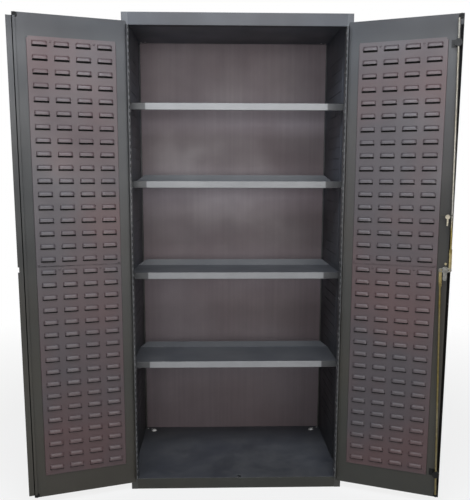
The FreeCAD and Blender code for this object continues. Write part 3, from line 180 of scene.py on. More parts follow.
class CABINET_PG_fasteners(bpy.types.PropertyGroup):
    """Sizes of what repeats on the carcass"""

    slot_rows: count_setting("Slot rows", "Slots in each strip on the side walls", 36)
    slot_pitch: length_setting("Slot pitch", "Distance between slots", 0.0472)
    slot_length: length_setting("Slot length", "Length of one slot", 0.290)
    slot_height: length_setting("Slot height", "Height of one slot", 0.005)
    knuckles: count_setting("Knuckles", "Knuckles of one hinge, both leaves together", 148, 2)
    knuckle_pitch: length_setting("Knuckle pitch", "Distance between knuckles", 0.0127)
    rivets: count_setting("Rivets", "Rivets along each frame leaf", 13)
    rivet_pitch: length_setting("Rivet pitch", "Distance between rivets", 0.1524)


class CABINET_PG_stage(bpy.types.PropertyGroup):
    """Lamps, floor and camera"""

    key_power: number_setting("Key lamp", "Power of the lamp above the camera", 68.0)
    fill_power: number_setting("Front fill", "Power of the lamp in front on the right", 42.0)
    middle_power: number_setting("Middle fill", "Power of the wide lamp in front", 38.0)
    side_power: number_setting("Side fill", "Power of each lamp at the sides", 34.0)
    rear_power: number_setting("Rear fill", "Power of the lamp behind", 45.0)
    ambient: number_setting("Ambient", "Strength of the light from all round", 0.05)
    floor: colour_setting("Floor", "Pale floor", (0.62, 0.62, 0.62))


# Mesh tools

def door_matrix(side):
    """From the closed door's own layout, measured from the pin, to its place in the cabinet."""
    turn = Matrix.Rotation(math.radians(side * OPEN_ANGLE[side]), 4, "Z")
    return Matrix.Translation((side * PIN_ACROSS, PIN_DEPTH, 0)) @ turn


def to_door(side, across, inward, height):
    """Puts a shape drawn about +Z on a door, pointing inward, at millimetres from pin, sheet and floor."""
    place = Matrix.Translation((-side * across * MM, inward * MM, height * MM))
    return door_matrix(side) @ place @ Matrix.Rotation(math.radians(-90), 4, "X")


def made_object(name, data):
    item = bpy.data.objects.new(name, data)
    bpy.context.scene.collection.objects.link(item)
    return item


def from_bmesh(name, shape):
    mesh = bpy.data.meshes.new(name)
    shape.to_mesh(mesh)
    shape.free()
    return made_object(name, mesh)


def to_bmesh(item):
    shape = bmesh.new()
    shape.from_mesh(item.data)
    return shape


def put_back(item, shape):
    shape.to_mesh(item.data)
    shape.free()


def baked(item):
    """Replaces an object's mesh with its evaluated mesh and drops the modifiers."""
    bpy.context.view_layer.update()
    graph = bpy.context.evaluated_depsgraph_get()
    result = bpy.data.meshes.new_from_object(
        item.evaluated_get(graph), preserve_all_data_layers=True, depsgraph=graph
    )
    result.name = item.name
    item.modifiers.clear()
    old = item.data
    item.data = result
    if old.users == 0:
        bpy.data.meshes.remove(old)
    return item


def smooth(item, angle=35):
    """Smooth shading with sharp edges kept and large flat faces left flat."""
    mesh = item.data
    mesh.polygons.foreach_set("use_smooth", [True] * len(mesh.polygons))
    mesh.set_sharp_from_angle(angle=math.radians(angle))
    weights = item.modifiers.new("flat faces", "WEIGHTED_NORMAL")
    weights.keep_sharp = True
    baked(item)


def thickened(item, sheet):
    """Gives a single surface the thickness of its sheet, behind it."""
    wall = item.modifiers.new("sheet", "SOLIDIFY")
    wall.thickness = sheet
    wall.offset = -1
    baked(item)


def face_reach(face, edge):
    return face.calc_area() / max(edge.calc_length(), 1e-6)


def sharp_edges(shape):
    limit = math.radians(SHARP_ANGLE)
    return [e for e in shape.edges if len(e.link_faces) == 2 and e.calc_face_angle(0) > limit]


def is_fold(edge):
    """An outer bend of a sheet: long, convex, with a broad face on both sides."""
    if edge.calc_length() < FOLD_LENGTH or edge.calc_face_angle_signed(0) < 0:
        return False
    return min(face_reach(face, edge) for face in edge.link_faces) > FOLD_REACH


def bevelled(shape, edges, offset, segments, clamp=True):
    bmesh.ops.bevel(
        shape, geom=edges, offset=offset, segments=segments, profile=0.5, affect="EDGES", clamp_overlap=clamp
    )


def softened(node, fold=0.0, edge=0.0004, name=None):
    """Copy of a CAD node with rounded bends and broken edges."""
    shape = to_bmesh(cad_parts[node])
    bmesh.ops.remove_doubles(shape, verts=shape.verts[:], dist=2 * WELD)
    flat = math.radians(FLAT_ANGLE)
    bmesh.ops.dissolve_limit(shape, angle_limit=flat, verts=shape.verts[:], edges=shape.edges[:])
    folds = [e for e in sharp_edges(shape) if is_fold(e)] if fold else []
    if folds:
        bevelled(shape, folds, fold, 3)
    if edge:
        bevelled(shape, sharp_edges(shape), edge, 2)
    bmesh.ops.remove_doubles(shape, verts=shape.verts[:], dist=WELD)
    item = from_bmesh(name or node + "_sheet", shape)
    item.data.materials.clear()
    smooth(item)
    return item


def ring(shape, matrix, height, radii):
    """Points round +Z at a height, evenly turned, one for each radius."""
    points = []
    for k, radius in enumerate(radii):
        a = 2 * math.pi * k / len(radii)
        points.append(shape.verts.new(matrix @ Vector((radius * math.cos(a), radius * math.sin(a), height))))
    return points


def walled(shape, low, high):
    """Faces between two rings of points. A ring may be a single point on the axis."""
    count = max(len(low), len(high))
    for k in range(count):
        n = (k + 1) % count
        corners = (low[k % len(low)], low[n % len(low)], high[n % len(high)], high[k % len(high)])
        unique = list(dict.fromkeys(corners))
        if len(unique) > 2:
            shape.faces.new(unique)


def turned(shape, profile, matrix, steps):
    """Adds a closed turned form. The profile gives (radius, height), and starts and ends on the axis."""
    rings = [ring(shape, matrix, height, [radius] * steps if radius else [0.0]) for radius, height in profile]
    for low, high in zip(rings, rings[1:]):
        walled(shape, low, high)


def settled(shape):
    bmesh.ops.remove_doubles(shape, verts=shape.verts[:], dist=1e-6)
    bmesh.ops.recalc_face_normals(shape, faces=shape.faces[:])


def joined_piece(items, name):
    """One mesh from several objects, keeping their materials."""
    first = items[0]
    with bpy.context.temp_override(
        active_object=first, selected_editable_objects=items, object=first, selected_objects=items
    ):
        bpy.ops.object.join()
    first.name = name
    first.data.name = name
    return first


def fitted(item, body, slot, finish, *nodes):
    """Gives a piece its finish and the body that it moves with, and hides the nodes that it stands for."""
    if finish is not None:
        item.data.materials.clear()
        item.data.materials.append(finish)
    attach(item, body)
    if nodes:
        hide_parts(*nodes)
    return item


def dressed(node, body, slot, finish, fold=0.0, edge=0.0004, name=None):
    """Piece that keeps the form of its node, softened."""
    return fitted(softened(node, fold, edge, name), body, slot, finish, node)


# Node trees

class Tree:
    """A node tree under construction."""

    def __init__(self, tree):
        self.tree = tree

    def add(self, kind, inputs=None, **settings):
        node = self.tree.nodes.new(kind)
        for name, value in settings.items():
            setattr(node, name, value)
        for key, value in (inputs or {}).items():
            self.put(node.inputs[key], value)
        return node

    def put(self, socket, value):
        if isinstance(value, bpy.types.Node):
            value = value.outputs[0]
        if isinstance(value, bpy.types.NodeSocket):
            self.tree.links.new(value, socket)
        elif isinstance(value, tuple) and len(value) == 3 and socket.type == "RGBA":
            socket.default_value = (*value, 1.0)
        else:
            socket.default_value = value

    def put_out(self, values):
        """Closes a group with what it puts out."""
        self.add("NodeGroupOutput", values)
        return self.tree

    def math(self, operation, a, b=0.0, c=0.0):
        node = self.add("ShaderNodeMath", operation=operation)
        for socket, value in zip(node.inputs, (a, b, c)):
            self.put(socket, value)
        return node.outputs[0]

    def chain(self, operation, first, *others):
        """One operation with each further value in turn."""
        for value in others:
            first = self.math(operation, first, value)
        return first

    times = partialmethod(chain, "MULTIPLY")
    plus = partialmethod(chain, "ADD")
    minus = partialmethod(chain, "SUBTRACT")
    over = partialmethod(math, "DIVIDE")
    most = partialmethod(math, "MAXIMUM")
    least = partialmethod(math, "MINIMUM")
    above = partialmethod(math, "GREATER_THAN")
    below = partialmethod(math, "LESS_THAN")
    magnitude = partialmethod(math, "ABSOLUTE")

    def same(self, a, b, within=0.2):
        return self.math("COMPARE", a, b, within)

    def rest(self, share):
        """What a share leaves of one."""
        return self.minus(1.0, share)

    def clamped(self, value):
        return self.least(self.most(value, 0.0), 1.0)

    def span(self, value, low, high, start=0.0, end=1.0):
        """Value taken from low..high to start..end."""
        return self.add("ShaderNodeMapRange", {
            "Value": value, "From Min": low, "From Max": high, "To Min": start, "To Max": end,
        }).outputs[0]

    def cell(self, index, count):
        """Column and row of a point or face counted upward, column by column."""
        column = self.math("FLOOR", self.over(self.plus(index, 0.5), count))
        return column, self.minus(index, self.times(column, count))

    def mix(self, share, a, b):
        """Colour between a and b."""
        return self.add("ShaderNodeMix", {0: share, 6: a, 7: b}, data_type="RGBA").outputs[2]

    def product(self, a, b):
        """One colour times another."""
        settings = {"data_type": "RGBA", "blend_type": "MULTIPLY"}
        return self.add("ShaderNodeMix", {0: 1.0, 6: a, 7: b}, **settings).outputs[2]

    def scaled(self, colour, factor):
        """Colour times a number."""
        return self.product(colour, self.add("ShaderNodeCombineColor", {0: factor, 1: factor, 2: factor}))

    def place(self):
        """Where the shaded point lies on the object."""
        return self.add("ShaderNodeTexCoord").outputs["Object"]

    def vector(self, x, y, z):
        return self.add("ShaderNodeCombineXYZ", {"X": x, "Y": y, "Z": z})

    def part(self, vector, axis):
        return self.add("ShaderNodeSeparateXYZ", {0: vector}).outputs[axis]

    def dot(self, a, b):
        return self.add("ShaderNodeVectorMath", {0: a, 1: b}, operation="DOT_PRODUCT").outputs["Value"]

    def noise(self, place, scale, detail=2.0, rough=0.5):
        values = {"Vector": place, "Scale": scale, "Detail": detail, "Roughness": rough}
        return self.add("ShaderNodeTexNoise", values).outputs[0]

    def bump(self, height, strength, distance):
        return self.add("ShaderNodeBump", {"Height": height, "Strength": strength, "Distance": distance})

    def group(self, tree, values):
        return self.add("ShaderNodeGroup", values, node_tree=tree)

    def grid(self, wide, tall, across, upward):
        return self.add("GeometryNodeMeshGrid", {
            "Size X": wide, "Size Y": tall, "Vertices X": across, "Vertices Y": upward,
        })

    def line(self, count, **places):
        """Points in a line, from its start and its offset."""
        values = {name.title().replace("_", " "): value for name, value in places.items()}
        return self.add("GeometryNodeMeshLine", {"Count": count, **values})

    def moved(self, geometry, place):
        return self.add("GeometryNodeSetPosition", {"Geometry": geometry, "Position": place})

    def copies(self, points, instance):
        return self.add("GeometryNodeInstanceOnPoints", {"Points": points, "Instance": instance}).outputs[0]

    def ending(self, geometry, finish):
        """Realises instances, sets the material and closes the tree."""
        real = self.add("GeometryNodeRealizeInstances", {0: geometry})
        soft = self.add("GeometryNodeSetShadeSmooth", {"Geometry": real})
        return self.put_out({0: self.add("GeometryNodeSetMaterial", {"Geometry": soft, "Material": finish})})

    def welded_ending(self, geometry, finish):
        """The same for cells that share their edges."""
        real = self.add("GeometryNodeRealizeInstances", {0: geometry})
        whole = self.add("GeometryNodeMergeByDistance", {"Geometry": real, "Distance": CELL_WELD})
        return self.ending(whole.outputs[0], finish)


def node_group(kind, name, inputs, outputs):
    """A new group with named inputs, each (name, kind, default), and outputs, each (name, kind)."""
    tree = bpy.data.node_groups.new(name, kind)
    for label, socket_kind, default in inputs:
        socket = tree.interface.new_socket(
            name=label, in_out="INPUT", socket_type="NodeSocket" + socket_kind
        )
        if default is not None:
            socket.default_value = default
    for label, socket_kind in outputs:
        tree.interface.new_socket(name=label, in_out="OUTPUT", socket_type="NodeSocket" + socket_kind)
    work = Tree(tree)
    return work, work.add("NodeGroupInput").outputs


def geometry_tree(name, inputs):
    through = "Geometry"
    return node_group("GeometryNodeTree", name, [(through, through, None), *inputs], [(through, through)])


def shader_group(name, inputs, outputs):
    return node_group("ShaderNodeTree", name, inputs, outputs)


def grown(name, tree, values):
    """Runs a geometry tree with its named inputs set, and keeps the result as a plain mesh."""
    item = made_object(name, bpy.data.meshes.new(name))
    modifier = item.modifiers.new(name, "NODES")
    modifier.node_group = tree
    for socket in tree.interface.items_tree:
        if socket.in_out == "INPUT" and socket.name in values:
            modifier[socket.identifier] = values[socket.name]
    return baked(item)


def lined_up_tree():
    """A shape repeated in a line, and that line repeated in a second direction."""
    work, given = geometry_tree("Shape in rows", [
        ("Shape", "Object", None),
        ("Start", "Vector", (0, 0, 0)),
        ("Step", "Vector", (0, 0, 0.1)),
        ("Count", "Int", 2),
        ("Row Step", "Vector", (0.1, 0, 0)),
        ("Rows", "Int", 1),
        ("Finish", "Material", None),
    ])
    line = work.line(given["Count"], start_location=given["Start"], offset=given["Step"])
    row = work.line(given["Rows"], offset=given["Row Step"])
    points = work.add("GeometryNodeRealizeInstances", {0: work.copies(row, line)})
    shape = work.add("GeometryNodeObjectInfo", {"Object": given["Shape"]})
    return work.ending(work.copies(points, shape.outputs["Geometry"]), given["Finish"])


def louvre_tree():
    """Sheet pressed into rows of louvres: a rounded hood over an opening at its foot."""
    across = 13
    upward = 9
    work, given = geometry_tree("Louvred sheet", [
        ("Columns", "Int", 4),
        ("Rows", "Int", 17),
        ("Column Pitch", "Float", 0.08),
        ("Row Pitch", "Float", 0.05),
        ("Louvre Width", "Float", 0.057),
        ("Louvre Height", "Float", 0.02),
        ("Opening", "Float", 0.005),
        ("Lift", "Float", 0.007),
        ("Corner", "Float", 9.0),
        ("Finish", "Material", None),
    ])
    cell = work.grid(1.0, 1.0, across, upward)
    index = work.add("GeometryNodeInputIndex").outputs[0]
    column, row = work.cell(index, upward)
    turn = work.times(work.clamped(work.over(work.minus(column, 1.0), across - 3)), math.pi)
    side = work.times(work.math("COSINE", turn), -1.0)
    ends = work.minus(work.same(column, across - 1), work.same(column, 0.0))
    spare = work.times(work.minus(given["Column Pitch"], given["Louvre Width"]), 0.5)
    x = work.plus(work.times(side, given["Louvre Width"], 0.5), work.times(ends, spare))
    climb = work.times(work.clamped(work.over(work.minus(row, 2.0), upward - 4)), math.pi / 2)
    rise = work.math("SINE", climb)
    under = work.below(row, 1.5)
    tips = work.minus(work.same(row, upward - 1), work.same(row, 0.0))
    margin = work.minus(given["Row Pitch"], work.plus(given["Louvre Height"], given["Opening"]))
    z = work.minus(work.times(rise, given["Louvre Height"]), work.times(under, given["Opening"]))
    z = work.plus(z, work.times(tips, work.times(margin, 0.5)))
    round_side = work.math("POWER", work.magnitude(side), given["Corner"])
    round_top = work.math("POWER", rise, 2.6)
    left = work.minus(work.rest(round_side), round_top)
    lift = work.times(work.math("SQRT", work.most(left, 0.0)), given["Lift"], work.rest(under))
    pressed = work.moved(cell, work.vector(x, lift, z))
    face_column, face_row = work.cell(index, upward - 1)
    inside = work.times(work.above(face_column, 0.5), work.below(face_column, across - 2.5))
    mouth = work.times(work.same(face_row, 1.0), inside)
    cut = work.add("GeometryNodeDeleteGeometry", {"Geometry": pressed, "Selection": mouth}, domain="FACE")
    facing = work.add("GeometryNodeFlipFaces", {"Mesh": cut})
    wide = work.times(work.minus(given["Columns"], 1.0), given["Column Pitch"])
    tall = work.times(work.minus(given["Rows"], 1.0), given["Row Pitch"])
    grid = work.grid(wide, tall, given["Columns"], given["Rows"])
    upright = work.add("GeometryNodeTransform", {"Geometry": grid, "Rotation": (math.pi / 2, 0, 0)})
    return work.welded_ending(work.copies(upright, facing), given["Finish"])


def slotted_tree():
    """Upright strip with a row of level slots."""
    work, given = geometry_tree("Slotted sheet", [
        ("Rows", "Int", 36),
        ("Row Pitch", "Float", 0.0472),
        ("Cell Width", "Float", 0.238),
        ("Slot Length", "Float", 0.218),
        ("Slot Height", "Float", 0.005),
        ("Finish", "Material", None),
    ])
    cell = work.grid(1.0, 1.0, 6, 4)
    index = work.add("GeometryNodeInputIndex").outputs[0]
    column, row = work.cell(index, 4)
    sideways = work.minus(column, 2.5)
    step = work.magnitude(sideways)
    half = work.times(given["Slot Length"], 0.5)
    reach = work.times(given["Slot Height"], 0.5)
    round_part = work.times(work.below(step, 0.9), reach)
    rim = work.times(work.above(step, 2.2), work.minus(work.times(given["Cell Width"], 0.5), half))
    y = work.times(work.math("SIGN", sideways), work.plus(work.minus(half, round_part), rim))
    upright = work.minus(row, 1.5)
    edge_row = work.above(work.magnitude(upright), 1.0)
    pinch = work.rest(work.times(work.same(step, 1.5), work.rest(edge_row)))
    spare = work.minus(work.times(given["Row Pitch"], 0.5), reach)
    z = work.plus(work.times(reach, work.most(pinch, 0.55)), work.times(edge_row, spare))
    shaped = work.moved(cell, work.vector(0.0, y, work.times(work.math("SIGN", upright), z)))
    face_column, face_row = work.cell(index, 3)
    hole = work.times(work.same(face_row, 1.0), work.same(face_column, 2.0, 1.2))
    cut = work.add("GeometryNodeDeleteGeometry", {"Geometry": shaped, "Selection": hole}, domain="FACE")
    down = work.vector(0.0, 0.0, work.times(given["Row Pitch"], -1.0))
    return work.welded_ending(work.copies(work.line(given["Rows"], offset=down), cut), given["Finish"])


def knuckle_tree():
    """Rolled knuckles of one hinge leaf, every second place along the pin."""
    work, given = geometry_tree("Hinge knuckles", [
        ("Count", "Int", 74),
        ("Pitch", "Float", 0.0254),
        ("Length", "Float", 0.0124),
        ("Radius", "Float", 0.004),
        ("Start", "Vector", (0, 0, 0)),
        ("Finish", "Material", None),
    ])
    index = work.add("GeometryNodeInputIndex").outputs[0]
    at_end = work.above(work.magnitude(work.minus(index, 1.5)), 1.0)
    chamfer = work.times(given["Radius"], 0.14)
    reach = work.minus(work.times(given["Length"], 0.5), work.times(work.rest(at_end), chamfer))
    z = work.times(reach, work.minus(work.times(work.above(index, 1.5), 2.0), 1.0))
    spine = work.moved(work.line(4, offset=(0, 0, 1)), work.vector(0.0, 0.0, z))
    curve = work.add("GeometryNodeMeshToCurve", {0: spine})
    radius = work.minus(given["Radius"], work.times(at_end, chamfer))
    rounded = work.add("GeometryNodeSetCurveRadius", {"Curve": curve, "Radius": radius})
    circle = work.add("GeometryNodeCurvePrimitiveCircle", {"Resolution": 14, "Radius": 1.0})
    tube = work.add("GeometryNodeCurveToMesh", {
        "Curve": rounded, "Profile Curve": circle.outputs[0], "Fill Caps": True,
    })
    if "Scale" in tube.inputs:
        work.put(tube.inputs["Scale"], radius)
    up = work.vector(0.0, 0.0, given["Pitch"])
    line = work.line(given["Count"], start_location=given["Start"], offset=up)
    return work.ending(work.copies(line, tube), given["Finish"])


# Shader groups

def paint_film_group():
    """Sprayed paint: slow colour drift, fine speckle, uneven gloss and orange peel."""
    work, given = shader_group("Paint film", [
        ("Colour", "Color", (0.1, 0.1, 0.1, 1)),
        ("Drift Colour", "Color", (0.1, 0.08, 0.08, 1)),
        ("Drift Size", "Float", 0.4),
        ("Drift Amount", "Float", 0.6),
        ("Speckle", "Float", 0.12),
        ("Peel Size", "Float", 0.0028),
        ("Peel Depth", "Float", 0.25),
        ("Gloss Low", "Float", 0.42),
        ("Gloss High", "Float", 0.58),
        ("Seed", "Float", 0.0),
    ], [("Colour", "Color"), ("Roughness", "Float"), ("Normal", "Vector")])
    place = work.place()
    shift = work.vector(given["Seed"], 0.0, given["Seed"])
    moved = work.add("ShaderNodeVectorMath", {0: place, 1: shift}, operation="ADD")
    drift = work.noise(moved, work.over(1.0, given["Drift Size"]), rough=0.45)
    share = work.times(work.span(drift, 0.36, 0.64), given["Drift Amount"])
    tone = work.mix(share, given["Colour"], given["Drift Colour"])
    fine = work.times(work.minus(work.noise(place, 420.0, 3.0, 0.7), 0.5), given["Speckle"])
    broad = work.times(work.minus(work.noise(place, 14.0), 0.5), 0.22)
    peel = work.noise(place, work.over(1.0, given["Peel Size"]), 1.0, 0.4)
    return work.put_out({
        "Colour": work.scaled(tone, work.plus(1.0, work.plus(fine, broad))),
        "Roughness": work.span(work.noise(place, 5.0), 0.3, 0.7, given["Gloss Low"], given["Gloss High"]),
        "Normal": work.bump(peel, given["Peel Depth"], 0.0003),
    })


def edge_wear_group():
    """Mask along rubbed edges, broken up so that the wear comes and goes."""
    work, given = shader_group("Edge wear", [
        ("Radius", "Float", 0.0012),
        ("Amount", "Float", 0.6),
        ("Patch Size", "Float", 0.05),
    ], [("Mask", "Float")])
    rounded = work.add("ShaderNodeBevel", {"Radius": given["Radius"]}, samples=4)
    true = work.add("ShaderNodeNewGeometry").outputs["Normal"]
    bend = work.span(work.dot(rounded, true), 0.995, 0.90)
    patch = work.noise(work.place(), work.over(1.0, given["Patch Size"]), 3.0, 0.6)
    return work.put_out({"Mask": work.times(bend, work.span(patch, 0.42, 0.62, 0.15), given["Amount"])})


def dust_group():
    """Mask of fine dust on faces that look up."""
    work, given = shader_group("Settled dust", [
        ("Amount", "Float", 0.4),
        ("Patch Size", "Float", 0.12),
    ], [("Mask", "Float")])
    up = work.span(work.part(work.add("ShaderNodeNewGeometry").outputs["Normal"], "Z"), 0.6, 0.98)
    patch = work.noise(work.place(), work.over(1.0, given["Patch Size"]), 5.0, 0.65)
    return work.put_out({"Mask": work.times(up, work.span(patch, 0.38, 0.72), given["Amount"])})


def streak_group():
    """Upright soft streaks, as on rolled sheet that was painted upright."""
    work, given = shader_group("Upright streaks", [
        ("Width", "Float", 0.02),
        ("Amount", "Float", 0.15),
    ], [("Factor", "Float")])
    squeezed = work.add("ShaderNodeMapping", {"Vector": work.place(), "Scale": (1.0, 1.0, 0.02)})
    value = work.minus(work.noise(squeezed, work.over(1.0, given["Width"]), 3.0, 0.55), 0.5)
    return work.put_out({"Factor": work.plus(1.0, work.times(value, given["Amount"]))})


def plating_group():
    """Plated steel: crystalline bloom, yellow tinge in places, fine drawing lines."""
    work, given = shader_group("Plated steel", [
        ("Colour", "Color", (0.6, 0.6, 0.6, 1)),
        ("Tinge", "Color", (0.6, 0.5, 0.3, 1)),
        ("Tinge Amount", "Float", 0.5),
        ("Bloom Size", "Float", 0.006),
        ("Rough Low", "Float", 0.28),
        ("Rough High", "Float", 0.46),
        ("Dirt", "Float", 0.3),
    ], [("Colour", "Color"), ("Roughness", "Float"), ("Normal", "Vector")])
    place = work.place()
    cells = work.add("ShaderNodeTexVoronoi", {"Vector": place, "Scale": work.over(1.0, given["Bloom Size"])})
    cell_tone = work.add("ShaderNodeSeparateColor", {0: cells.outputs["Color"]}).outputs[0]
    share = work.times(work.span(work.noise(place, 6.0), 0.35, 0.6), given["Tinge Amount"])
    tone = work.mix(share, given["Colour"], given["Tinge"])
    grime = work.noise(place, 60.0, 4.0, 0.6)
    shade = work.rest(work.times(work.span(grime, 0.45, 0.75), given["Dirt"]))
    shade = work.times(shade, work.span(cell_tone, 0.0, 1.0, 0.88, 1.06))
    fine = work.noise(place, 900.0)
    return work.put_out({
        "Colour": work.scaled(tone, shade),
        "Roughness": work.span(grime, 0.3, 0.7, given["Rough Low"], given["Rough High"]),
        "Normal": work.bump(fine, 0.12, 0.0002),
    })


def new_material(name):
    material = bpy.data.materials.new(name)
    material.use_nodes = True
    material.node_tree.nodes.clear()
    return material, Tree(material.node_tree)


def closed(work, colour, coat, metallic=0.0, specular=0.5):
    """Ends a material: colour, and the roughness and normal that its coat of paint or plating puts out."""
    shader = work.add("ShaderNodeBsdfPrincipled", {
        "Base Color": colour,
        "Roughness": coat[0],
        "Normal": coat[1],
        "Metallic": metallic,
        "Specular IOR Level": specular,
    })
    work.add("ShaderNodeOutputMaterial", {"Surface": shader})


class Finishes:
    """The materials, made once from the settings."""

    def __init__(self, settings):
        self.settings = settings
        self.film = paint_film_group()
        self.wear = edge_wear_group()
        self.dust = dust_group()
        self.streaks = streak_group()
        self.plating = plating_group()
        s = settings
        # The grey paints and the door paint carry a painted light tint: cooler above, warmer below.
        body = {"colour": s.paint, "drift_colour": s.paint_warm, "painted_light_tint": True}
        self.paint = self.painted("Grey paint", seed=0.0, **body)
        self.stile = self.painted("Side panel paint", seed=0.6, gloss=0.66, **body)
        self.sill = self.painted("Sill paint", seed=0.9, gloss=0.34, **body)
        door = {"colour": s.door, "drift_colour": s.door_warm, "painted_light_tint": True}
        door.update(seed=3.1, drift=0.75, size=0.55)
        self.door = self.painted("Door paint", side=LEFT, **door)
        # Painted shade along the free edge of the right door, and a painted shadow line on the meeting strip.
        self.right_door = self.painted("Right door paint", side=RIGHT, edge=(0.4212, 1.0, 1.906, 0.12), **door)
        self.astragal = self.painted("Meeting strip paint", side=LEFT, edge=(0.4262, 0.4302, 2.0, 0.08), **door)
        self.panel = self.painted(
            "Louvred panel paint", s.panel, s.panel_warm, seed=7.3, drift=0.9, size=0.35, wear=0.35
        )
        # Painted light: the back sheet gets brighter towards the top.
        self.back = self.painted(
            "Back sheet paint", s.back, s.panel_warm, seed=1.7, drift=0.35, size=0.5, wear=0.1, streaks=0.34,
            rise=(0.92, 1.38),
        )
        # Painted shade: the inner walls darken strongly towards the bottom.
        self.side = self.painted(
            "Side wall paint", s.floor_sheet, s.paint, seed=5.0, drift=0.5, wear=0.3, rise=(0.3, 2.1)
        )
        self.shelf = self.painted("Shelf paint", s.shelf, s.floor_sheet, seed=2.2, drift=0.5, dust=0.5)
        self.floor = self.painted("Floor sheet paint", s.floor_sheet, s.paint, seed=4.4, drift=0.4, dust=0.55)
        self.lip = self.lip_paint_with_painted_light(s)
        self.zinc = self.plated("Zinc plated rod", s.zinc, s.zinc_yellow, 0.25, 0.3, 0.8, yellow_below=1.27)
        self.yellow = self.plated("Yellow plated rod", s.zinc_yellow, s.zinc, 0.35, 0.35, 0.7)
        self.latch = self.plated("Dull latch steel", s.latch, s.zinc_yellow, 0.15, 0.5, 0.7)
        self.hinge = self.plated("Painted hinge steel", s.paint, s.wear, 0.25, 0.4, 0.2)
        self.knuckle = self.plated("Rubbed hinge steel", s.wear, s.zinc, 0.35, 0.4, 0.4)
        self.rivet = self.plated("Bright rivet", s.rivet, s.rivet, 0.0, 0.12, 0.2)
        self.chrome = self.plated("Chromed grip", s.chrome, s.chrome, 0.0, 0.12, 1.0, rough=(0.10, 0.24))
        self.key = self.plated("Key metal", s.key, s.key, 0.0, 0.15, 0.8)
        self.guide = self.moulded("Black guide plastic", s.guide, 0.45)
        self.rubber = self.moulded("Bumper rubber", s.rubber, 0.75)
        self.tie = self.moulded("Tie plastic", s.tie, 0.5)
        # Painted shade: near-black finish for the sheet behind the louvres.
        self.hollow = self.moulded("Unlit hollow", (0.003, 0.003, 0.003), 0.9)

    def coated(self, work, tree, values):
        """Colour of a coat, and its roughness and normal."""
        coat = work.group(tree, values).outputs
        return coat["Colour"], (coat["Roughness"], coat["Normal"])

    def painted(
        self, name, colour, drift_colour, seed, drift=0.6, size=0.4, wear=0.6, dust=0.15,
        streaks=0.0, rise=None, painted_light_tint=False, gloss=0.5, side=0, edge=None,
    ):
        """Sprayed sheet. A rise scales the tone by height, painting in light and shade. A painted light tint is
        warmer below and cooler above, standing in for the cool lamp above. An edge paints shade along a door's
        edge.
        """
        material, work = new_material(name)
        tone, (roughness, normal) = self.coated(work, self.film, {
            "Colour": tuple(colour), "Drift Colour": tuple(drift_colour),
            "Drift Amount": drift, "Drift Size": size, "Seed": seed,
        })
        if streaks:
            lines = work.group(self.streaks, {"Width": 0.016, "Amount": streaks})
            tone = work.scaled(tone, lines)
        place = work.place()
        height = work.part(place, "Z")
        # Painted light and painted shade by height.
        if rise:
            tone = work.scaled(tone, work.span(height, 0.3, 1.75, *rise))
        # Painted light: cooler colour above and warmer below, standing in for the cool lamp above.
        if painted_light_tint:
            cast = work.mix(work.span(height, 0.5, 1.95), (1.0, 0.98, 0.84), (0.92, 0.99, 1.24))
            tone = work.product(tone, cast)
        sheen = gloss
        if side:
            across = self.from_pin(work, place, side)
            sheen = work.times(sheen, self.dulled(work, across, height, side))
        # Painted shade along a door's edge, on both tone and sheen.
        if edge:
            edge_shade = self.painted_edge_shade(work, across, height, *edge)
            tone = work.scaled(tone, edge_shade)
            sheen = work.times(sheen, edge_shade)
        tone = work.mix(work.group(self.wear, {"Amount": wear}), tone, tuple(self.settings.wear))
        settled_dust = work.group(self.dust, {"Amount": dust})
        tone = work.mix(work.times(settled_dust, 0.22), tone, (0.30, 0.29, 0.28))
        roughness = work.plus(roughness, work.times(settled_dust, 0.2))
        closed(work, tone, (roughness, normal), specular=sheen)
        return material

    def from_pin(self, work, place, side):
        """Distance from a door's hinge pin, across the open door."""
        way = door_matrix(side).to_3x3() @ Vector((-side, 0, 0))
        return work.minus(work.dot(place, tuple(way)), way.dot(Vector((side * PIN_ACROSS, PIN_DEPTH, 0))))

    def dulled(self, work, across, height, side):
        """Factor for the gloss of a door: dull along the free edge at hand height and along the top."""
        free_edge = work.span(across, 0.30, 0.38)
        from_middle = work.magnitude(work.minus(height, 1.05))
        hand_height = work.span(from_middle, 0.25, 0.65, HAND_DULL[side], 0.0)
        dull = work.rest(work.times(free_edge, hand_height))
        return work.times(dull, work.span(height, 1.83, 1.90, 1.0, 0.68))

    def painted_edge_shade(self, work, across, height, near, far, top, keep):
        """Painted shade: factor that darkens tone and sheen of a door between two distances from its pin, below
        a height, where its edge lies in shade.
        """
        here = work.times(work.above(across, near), work.below(across, far), work.below(height, top))
        return work.rest(work.times(here, 1.0 - keep))

    def lip_paint_with_painted_light(self, s):
        """Front edge of a shelf: a painted highlight over the opening, painted shade at both ends, and painted
        shade by height that darkens tone and sheen most near 1.2 m.
        """
        material, work = new_material("Shelf front paint")
        colour, coat = self.coated(work, self.film, {
            "Colour": tuple(s.shelf_lip), "Drift Colour": tuple(s.shelf_lip), "Drift Amount": 0.2,
            "Gloss Low": 0.3, "Gloss High": 0.42,
        })
        place = work.place()
        # Painted shade at both ends, painted highlight on the lip between them.
        end = work.span(work.magnitude(work.part(place, "X")), 0.379, 0.383)
        # Painted shade by height: tone and sheen keep 74 % near 1.2 m and all of it 0.6 m away.
        from_middle = work.magnitude(work.minus(work.part(place, "Z"), 1.2))
        lip_height_shade = work.span(from_middle, 0.0, 0.6, 0.74)
        tone = work.scaled(work.mix(end, colour, work.scaled(colour, 0.30)), lip_height_shade)
        closed(work, tone, coat, specular=work.times(work.span(end, 0.0, 1.0, 0.5, 0.3), lip_height_shade))
        return material

